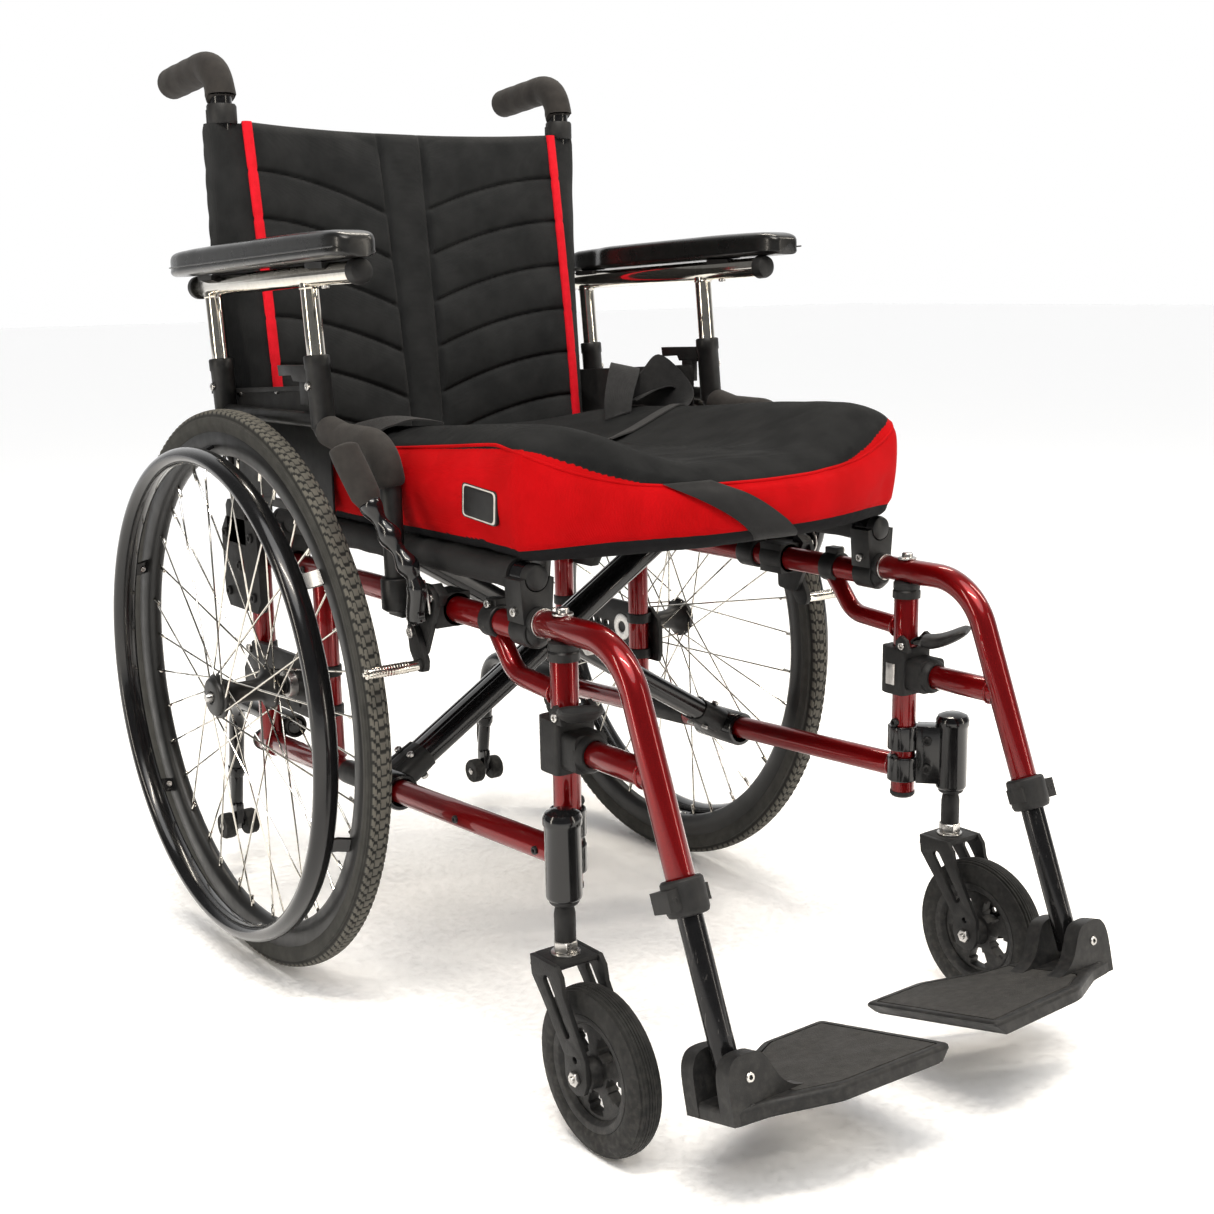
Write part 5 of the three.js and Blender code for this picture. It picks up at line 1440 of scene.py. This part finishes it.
def plan_facts(x, y):
    """For each point: how far it lies inside the plan's edge, and the seam's height at the nearest edge point."""
    plan = cushion_plan()
    seam = seam_height(plan[:, 0], plan[:, 1])
    inside, height = np.empty(len(x)), np.empty(len(x))
    for start in range(0, len(x), 4000):
        part = slice(start, start + 4000)
        d2 = (x[part, None] - plan[None, :, 0]) ** 2 + (y[part, None] - plan[None, :, 1]) ** 2
        nearest = d2.argmin(1)
        inside[part] = np.sqrt(d2[np.arange(len(nearest)), nearest])
        height[part] = seam[nearest]
    return inside, height


def coordinates(mesh):
    co = np.zeros(len(mesh.vertices) * 3)
    mesh.vertices.foreach_get("co", co)
    return co.reshape(-1, 3)


def set_coordinates(mesh, co):
    mesh.vertices.foreach_set("co", co.ravel())
    mesh.update()


def remesh(made, voxel):
    cut = made.modifiers.new("voxels", "REMESH")
    cut.mode = "VOXEL"
    cut.voxel_size = voxel
    apply_modifiers(made)


def inflate(made, pressure, cap, frames=20):
    """Cloth under pressure, with the distance that a point may move capped."""
    rest = coordinates(made.data)
    cloth = made.modifiers.new("cloth", "CLOTH")
    fabric = dict(quality=4, mass=0.3, tension_stiffness=12, compression_stiffness=12, bending_stiffness=0.4,
                  use_pressure=True, uniform_pressure_force=pressure)
    for key, value in fabric.items():
        setattr(cloth.settings, key, value)
    cloth.settings.effector_weights.gravity = 0
    cloth.point_cache.frame_start, cloth.point_cache.frame_end = 1, frames
    for number in range(1, frames + 1):
        bpy.context.scene.frame_set(number)
    evaluated = made.evaluated_get(bpy.context.evaluated_depsgraph_get())
    moved = coordinates(evaluated.data)
    step = moved - rest
    length = np.linalg.norm(step, axis=1, keepdims=True)
    limit = cap * (1 - np.exp(-length / cap)) / np.maximum(length, 1e-9)
    made.modifiers.clear()
    bpy.context.scene.frame_set(1)
    set_coordinates(made.data, rest + step * limit)


def subdivide(made, levels=1):
    finer = made.modifiers.new("finer", "SUBSURF")
    finer.levels = finer.render_levels = levels
    apply_modifiers(made)


def store(mesh, name, values):
    layer = mesh.attributes.new(name, "FLOAT", "POINT")
    layer.data.foreach_set("value", np.asarray(values, np.float32))


def cover_material():
    """Charcoal stretch cloth on top, red sides and a black base, split where the seams run."""
    def paint(nodes, tone):
        top = nodes.add("ShaderNodeAttribute", out=2, attribute_name="top")
        base = nodes.add("ShaderNodeAttribute", out=2, attribute_name="base")
        patches = nodes.ramp(nodes.noise(26), 0.35, 0.65)
        charcoal = nodes.mix(patches, rgba((0.009, 0.0095, 0.010)), rgba((0.015, 0.0155, 0.016)))
        specks = nodes.ramp(nodes.noise(900, 2), 0.72, 0.76, 0, 0.5)
        charcoal = nodes.mix(specks, charcoal, rgba((0.12, 0.12, 0.12)))
        tone = nodes.mix(nodes.ramp(top, -0.2, 0.2), tone, charcoal)
        return nodes.mix(nodes.ramp(base, -0.2, 0.2), tone, rgba((0.010, 0.010, 0.011)))

    return material("cushion_cover", **{**LOOKS["red_cloth"], "paint": paint})


def drape(line_points, tree, lift):
    """Points moved down onto the surface below, then up by lift, in millimetres."""
    down = Vector((0, 0, -1))
    made = []
    for x, y, z in line_points:
        hit = tree.ray_cast(Vector((x / MM, (y + AXLE_Y) / MM, 0.8)), down)
        made.append((x, y, hit[0].z * MM + lift if hit[0] is not None else z))
    return made


def on_side(x, y, z, tree, lift):
    """A point near the cushion's side moved onto it, along the line to the middle of the seat."""
    origin = Vector((x * 1.3 / MM, (y * 1.15 + 40 + AXLE_Y) / MM, z / MM))
    aim = Vector((x * 0.2 / MM, (SEAT_MIDDLE_Y + AXLE_Y) / MM, z / MM))
    way = (aim - origin).normalized()
    hit = tree.ray_cast(origin, way)
    if hit[0] is None:
        return (x, y, z)
    p = hit[0] - way * lift / MM
    return (p.x * MM, p.y * MM - AXLE_Y, p.z * MM)


def add_cushion():
    form = to_mesh("cushion", cushion_form(5.0), [cover_material()], 1, 0, 35, 0)
    remesh(form, 0.005)
    inflate(form, 4.0, 0.006)
    subdivide(form)
    co = coordinates(form.data) * MM
    co[:, 1] -= AXLE_Y
    inside, height = plan_facts(co[:, 0], co[:, 1])
    normals = np.zeros(len(co) * 3)
    form.data.vertices.foreach_get("normal", normals)
    normals = normals.reshape(-1, 3)
    over_seam = np.maximum(co[:, 2] - height, np.where(normals[:, 2] > 0.35, inside - 16, NOWHERE))
    top = np.where(co[:, 2] > 535, over_seam, NOWHERE)
    base = border_height(co[:, 1]) - co[:, 2]
    base = np.where((inside > 12) & (co[:, 2] < SIDE_START), 20, base)
    depth = 1.3 * np.exp(-(top / 4) ** 2) + 1.2 * np.exp(-(base / 3.4) ** 2)
    wrinkle = np.array([noise.noise(Vector((x / 46 + y / 90, y / 30, 3.1))) for x, y, _ in co])
    wrinkle = np.clip(wrinkle, 0, 1) * np.exp(-((co[:, 1] + 440) / 70) ** 2)
    wrinkle *= np.exp(-((np.abs(co[:, 0]) - 105) / 75) ** 2)
    swell = np.array([noise.noise(Vector((x / 70, y / 70, z / 70 + 9))) for x, y, z in co])
    lift = 2.6 * wrinkle * (normals[:, 2] > 0.5) + 1.1 * swell - depth
    co += normals * lift[:, None]
    co[:, 2] = np.maximum(co[:, 2], CUSHION_CLEAR)
    co[:, 1] += AXLE_Y
    set_coordinates(form.data, co / MM)
    store(form.data, "top", top)
    store(form.data, "base", base)
    finish_normals(form.data, 180)
    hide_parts("seat_cushion")
    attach(form, "seat")
    tree = BVHTree.FromPolygons([v.co for v in form.data.vertices], [tuple(p.vertices) for p in form.data.polygons])
    trims_made = build("cushion_trim", cushion_trim(tree), ["red_cloth", "nylon"], "seat", "fabric_red", sharp=60)
    badge_made = build("cushion_badge", cushion_badge(tree), ["satin", "label"], "seat", "fabric_red", bevel=0.2)
    for piece in (form, trims_made, badge_made):
        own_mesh(piece)
    lay_belt(tree)


def cushion_trim(tree):
    """The piping along the seam, and the strap across the front from under the top cover down to the base."""
    trims = Shape()
    plan = cushion_plan()
    seam = seam_height(plan[:, 0], plan[:, 1])
    path = np.array([on_side(x, y, z, tree, -0.3) for (x, y), z in zip(plan, seam)])
    path = (np.roll(path, 1, 0) + path + np.roll(path, -1, 0)) / 3
    trims.sweep(path, circle(1.7, 8), 0, closed=True, side=Z)
    upper = smooth_line([(-62, -600, 561), (-24, -600, 546), (14, -600, 524), (50, -600, 500)], 8)
    lower = smooth_line([(-120, -600, 561), (-80, -600, 545), (-42, -600, 525), (-10, -600, 502)], 8)
    steps = len(upper)
    rings = []
    for i in range(steps):
        t = i / (steps - 1)
        inner, outer = [], []
        for u in np.linspace(0, 1, 11):
            q = upper[i] * (1 - u) + lower[i] * u
            bow = 1.6 + 3.4 * math.sin(math.pi * t) ** 0.8 * (0.45 + 0.55 * math.sin(math.pi * u))
            inner.append(on_side(*q, tree, bow - 1.2))
            outer.append(on_side(*q, tree, bow + 0.9))
        rings.append(outer + inner[::-1])
    return trims.loft(rings, 1)


def cushion_badge(tree):
    badge = Shape()
    y, z = -411, 545.5
    for scale, depth_in, number in ((1.0, 1.2, 0), (0.94, 1.5, 1), (0.86, 1.8, 0)):
        corners = ((-1, -1), (1, -1), (1, 1), (-1, 1))
        outline = corners_cut([(28.5 * scale * a, 15.5 * scale * b) for a, b in corners], 5)
        side_x = on_side(-233, y, z, tree, 0)[0]
        badge.plate(outline, side_x + 2, side_x - depth_in, (0, y, z), (0, 1, 0.08), (0, -0.08, 1), mat=number)
    return badge


def lay_belt(tree):
    s = Shape()
    # near side: a fold of webbing laid flat over the side of the cushion
    lines = []
    for t in np.linspace(0, 1, 22):
        a = np.array((-226, -150)) * (1 - t) + np.array((-176, -256)) * t
        b = np.array((-162, -60)) * (1 - t) + np.array((-172, -250)) * t
        line = [a * (1 - u) + b * u for u in np.linspace(0, 1, 9)]
        lines.append(drape([(p[0], p[1], 600) for p in line], tree, 3 + 7 * math.sin(math.pi * t)))
    rings = [[*line, *[(x, y, z - 1.8) for x, y, z in reversed(line)]] for line in lines]
    s.loft(rings)
    # far side: the webbing stands up in two loops, from the frame behind the cushion
    loops = [
        # a fold that stands up in front and goes down behind
        ([(110, -130, 578), (114, -124, 605), (130, -112, 636), (142, -100, 642), (150, -90, 620), (152, -86, 586)],
         [(140, -138, 582), (148, -132, 605), (168, -118, 630), (178, -106, 634), (186, -96, 616), (188, -92, 586)]),
        # a length on its edge that turns round to the front and lies down towards the middle of the seat
        ([(140, -88, 588), (168, -90, 588), (200, -96, 588), (222, -118, 590), (206, -150, 588), (160, -176, 578),
          (112, -190, 572), (78, -196, 569), (44, -210, 567)],
         [(152, -94, 610), (186, -95, 628), (211, -100, 650), (232, -122, 626), (221, -152, 603), (160, -192, 583),
          (114, -206, 577), (80, -212, 574), (46, -228, 571)]),
        # from the frame up to the fold
        ([(234, -70, 556), (232, -76, 590), (222, -84, 606), (196, -90, 604), (160, -92, 592)],
         [(234, -106, 556), (232, -112, 594), (222, -116, 612), (196, -120, 612), (160, -122, 600)]),
    ]
    for low_edge, high_edge in loops:
        rings = []
        for low, high in zip(smooth_line(low_edge, 7), smooth_line(high_edge, 7)):
            line = []
            for u in np.linspace(0, 1, 7):
                x, y, z = low * (1 - u) + high * u
                resting = drape([(x, y, 0)], tree, 1.6)[0][2]
                line.append(np.array((x, y, max(z, resting))))
            rings.append(line)
        faces_out = []
        for i, line in enumerate(rings):
            along = unit(rings[min(i + 1, len(rings) - 1)][3] - rings[max(i - 1, 0)][3])
            out = unit(np.cross(along, line[-1] - line[0])) * 0.8
            faces_out.append([p + out for p in line] + [p - out for p in reversed(line)])
        s.loft(faces_out)
    # the strap behind the cushion that joins the two ends to the frame
    section = ((-16, 530), (-13.8, 532), (-13, 550), (-13.8, 568), (-16, 570), (-15.4, 550))
    s.loft([[(x, y, z) for y, z in section] for x in np.linspace(-214, 214, 30)])
    made = build("belt", s, ["webbing"], "seat", "webbing", ["lap_belt"], sharp=60)
    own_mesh(made)


# ---------- seat sling ----------
def sling_sleeve():
    rings = []
    for y in np.linspace(-438, 28, 80):
        size = 14.3 + 0.35 * math.sin(y / 7.0) + 0.3 * math.sin(y / 19.0)
        rings.append([(SIDE_X + size * math.cos(a), y, RAIL_Z + size * math.sin(a)) for a in turns(32)])
    return Shape().loft(rings)


def add_sling():
    s = Shape()
    rings = []
    xs = np.linspace(-208, 208, 53)
    for y in np.linspace(-438, 28, 60):
        top = RAIL_Z + 13.2 - (9 + 0.8 * math.sin(y / 19)) * (1 - (xs / 212) ** 2)
        rings.append([(x, y, z) for x, z in zip(xs, top)] + [(x, y, z - 1.8) for x, z in zip(xs[::-1], top[::-1])])
    s.loft(rings)
    for y in (-434, 24):
        s.sweep([(x, y, RAIL_Z + 13.6 - 9 * (1 - (x / 212) ** 2)) for x in np.linspace(-206, 206, 50)],
                circle(0.9, 6), 1)
    made = build("sling", s, ["nylon", "webbing"], "seat", "fabric_black", ["seat_sling"], sharp=60)
    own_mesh(made)
    for side, sign, body in (("left", 1, "seat"), ("right", -1, "brace_left")):
        build(f"sling_sleeve_{side}", sling_sleeve(), ["nylon"], body, "fabric_black", side=sign, sharp=60)


# ---------- back upholstery ----------
PANEL_LOW, PANEL_HIGH, PANEL_HALF = 556, 912, 199
EDGE_LINE = ([556, 575, 597, 649, 702, 754, 807, 858, 912], [54.5, 56, 58, 63, 69, 76, 83, 90, 98])
GROOVE_ENDS = [858, 807, 754, 702, 649, 597]


def back_front(x, z):
    """The panel's front face: it hangs between the posts, with stitched grooves fanning down to a middle strip."""
    x, z = np.asarray(x, float), np.asarray(z, float)
    side = np.abs(x)
    y = np.interp(z, *EDGE_LINE) + 15 * (1 - (side / 196) ** 2)
    spine = np.interp(z, [560, 900], [21, 28])
    side_of_spine = np.abs(x + 3)
    out = np.clip((196 - side) / 168, 0, 1.05)
    fall = np.where(x < 0, 45, 38) * out ** 1.7
    outside = np.clip((side_of_spine - spine) / 6, 0, 1)
    level = z + fall
    depth = np.zeros_like(y)
    puff = np.zeros_like(y)
    ends = [930, *GROOVE_ENDS, 545]
    for high, low in zip(ends, ends[1:]):
        t = np.clip((high - level) / (high - low), 0, 1)
        puff = np.maximum(puff, np.sin(math.pi * t) ** 0.7 * ((level <= high) & (level >= low)))
    for end in GROOVE_ENDS:
        depth = np.maximum(depth, np.exp(-((level - end) / 2.3) ** 2))
    at_seam = np.exp(-((side_of_spine - spine) / 2.4) ** 2)
    edge = np.clip((198 - side) / 14, 0, 1) ** 0.5
    crowned = (side_of_spine < spine) * (1 - (side_of_spine / spine) ** 4)
    return y - 5.0 * puff * outside * edge - 3.2 * crowned + 3.0 * depth * outside + 2.6 * at_seam


def add_back():
    nx, nz = 211, 191
    gx, gz = np.meshgrid(np.linspace(-PANEL_HALF, PANEL_HALF, nx), np.linspace(PANEL_LOW, PANEL_HIGH, nz))
    top_line = 908 + 2 * (np.abs(gx) / 196) ** 3 - 3 * (1 - (np.abs(gx) / 196) ** 2)
    gz = PANEL_LOW + (gz - PANEL_LOW) * (top_line - PANEL_LOW) / (PANEL_HIGH - PANEL_LOW)
    front = back_front(gx, gz)
    rear = np.interp(gz, *EDGE_LINE) + 15 * (1 - (np.abs(gx) / PANEL_HALF) ** 2) + 17
    rear = rear + 2 * np.sin(gz / 31) * np.cos(gx / 40)
    near_top = np.clip((top_line - gz) / 11, 0, 1)
    near_low = np.clip((gz - PANEL_LOW) / 9, 0, 1)
    closing = 1 - np.sqrt(np.clip(1 - (1 - np.minimum(near_top, near_low)) ** 2, 0, 1))
    middle = (front + rear) / 2
    closed = [face + (middle - face) * closing for face in (front, rear)]
    points = np.vstack([np.column_stack([gx.ravel(), face.ravel(), gz.ravel()]) for face in closed])
    count = nx * nz
    faces = []
    for j in range(nz - 1):
        for i in range(nx - 1):
            a = j * nx + i
            faces.append((a, a + 1, a + nx + 1, a + nx))
            faces.append((count + a, count + a + nx, count + a + nx + 1, count + a + 1))
    rim = list(range(nx)) + [j * nx + nx - 1 for j in range(1, nz)]
    rim += [(nz - 1) * nx + i for i in range(nx - 2, -1, -1)] + [j * nx for j in range(nz - 2, 0, -1)]
    faces += [(a, b, count + b, count + a) for a, b in zip(rim, rim[1:] + rim[:1])]
    s = Shape().add(points, faces)
    panel = build("back_panel", s, ["charcoal"], "right_frame", "fabric_charcoal", ["back_upholstery"], sharp=80)
    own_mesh(panel)
    for side, sign in SIDES.items():
        build(f"back_edging_{side}", back_edging(), ["piping", "charcoal"], f"{side}_frame", "fabric_charcoal",
              side=sign, sharp=70)
    straps = Shape()
    section = ((0, -22), (1.6, -21), (1.6, 21), (0, 22), (-1.2, 21), (-1.2, -21))
    for z in (640, 720, 800):
        rings = []
        for x in np.linspace(-205, 205, 40):
            y = float(np.interp(z, *EDGE_LINE)) + 39 - 2 * (1 - (x / 205) ** 2)
            rings.append([(x, y + dy, z + dz) for dy, dz in section])
        straps.loft(rings)
    tension = build("back_straps", straps, ["webbing"], "right_frame", "fabric_charcoal", sharp=60)
    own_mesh(tension)


def back_edging():
    """The red band down the panel's edge, and the sleeve round the post."""
    trim = Shape()
    red, black = 0, 1
    # red edging band with its stitched ticks at each groove
    line = [np.array((199, float(np.interp(z, *EDGE_LINE)) - 2.6, z)) for z in np.linspace(560, 909, 90)]
    section = [(5.8 * power(c, 0.7), 3.2 * d) for c, d in circle(1, 16)]
    sizes = [1 - 0.16 * max(math.exp(-((p[2] - e) / 2.0) ** 2) for e in GROOVE_ENDS) for p in line]
    trim.sweep(line, section, red, side=X, sizes=sizes)
    # the sleeve runs from the edging band out and back round the post, and its rear seam is scalloped
    rings = []
    for z in np.linspace(566, 907, 130):
        edge = float(np.interp(z, *EDGE_LINE))
        scallop = 2.6 * abs(math.sin((z - 560) / 25 * math.pi)) + 0.8 * math.sin(z / 7.3)
        swell = 0.5 * math.sin(z / 23) + 0.3 * math.sin(z / 9.1)
        tuck = 1 if z < 900 else 1 - 0.06 * (z - 900) / 7
        corners = [(198, edge + 0.5), (207, edge + 1), (221, edge + 0.35 * (97 - edge)), (233 + swell, 98),
                   (237 + swell, 105), (238 + swell, 116), (236.5 + scallop * 0.3, 126), (230, 129.5 + scallop),
                   (216, 130 + scallop), (204, 128), (200, 118), (198, edge + 22), (197, edge + 10)]
        outline = smooth_line([(x, y, 0) for x, y in corners + corners[:1]], 4)[:-1]
        rings.append([(BACK_X + (q[0] - BACK_X) * tuck, 110 + (q[1] - 110) * tuck, z) for q in outline])
    trim.loft(rings, black)
    for k in range(28):
        z = 574 + k * 12
        trim.sweep([(222, 128, z), (222, 133.6, z + 3), (222, 128, z + 6)], circle(0.7, 6), black)
    return trim.ring((BACK_X, 110, 914), Z, 12.9, 3.2, 15, segments=36, mat=black)


STEPS = [add_frames, add_wheels, add_front, add_sides, add_cushion, add_sling, add_back]


add_camera()
add_studio()
for step in STEPS:
    step()
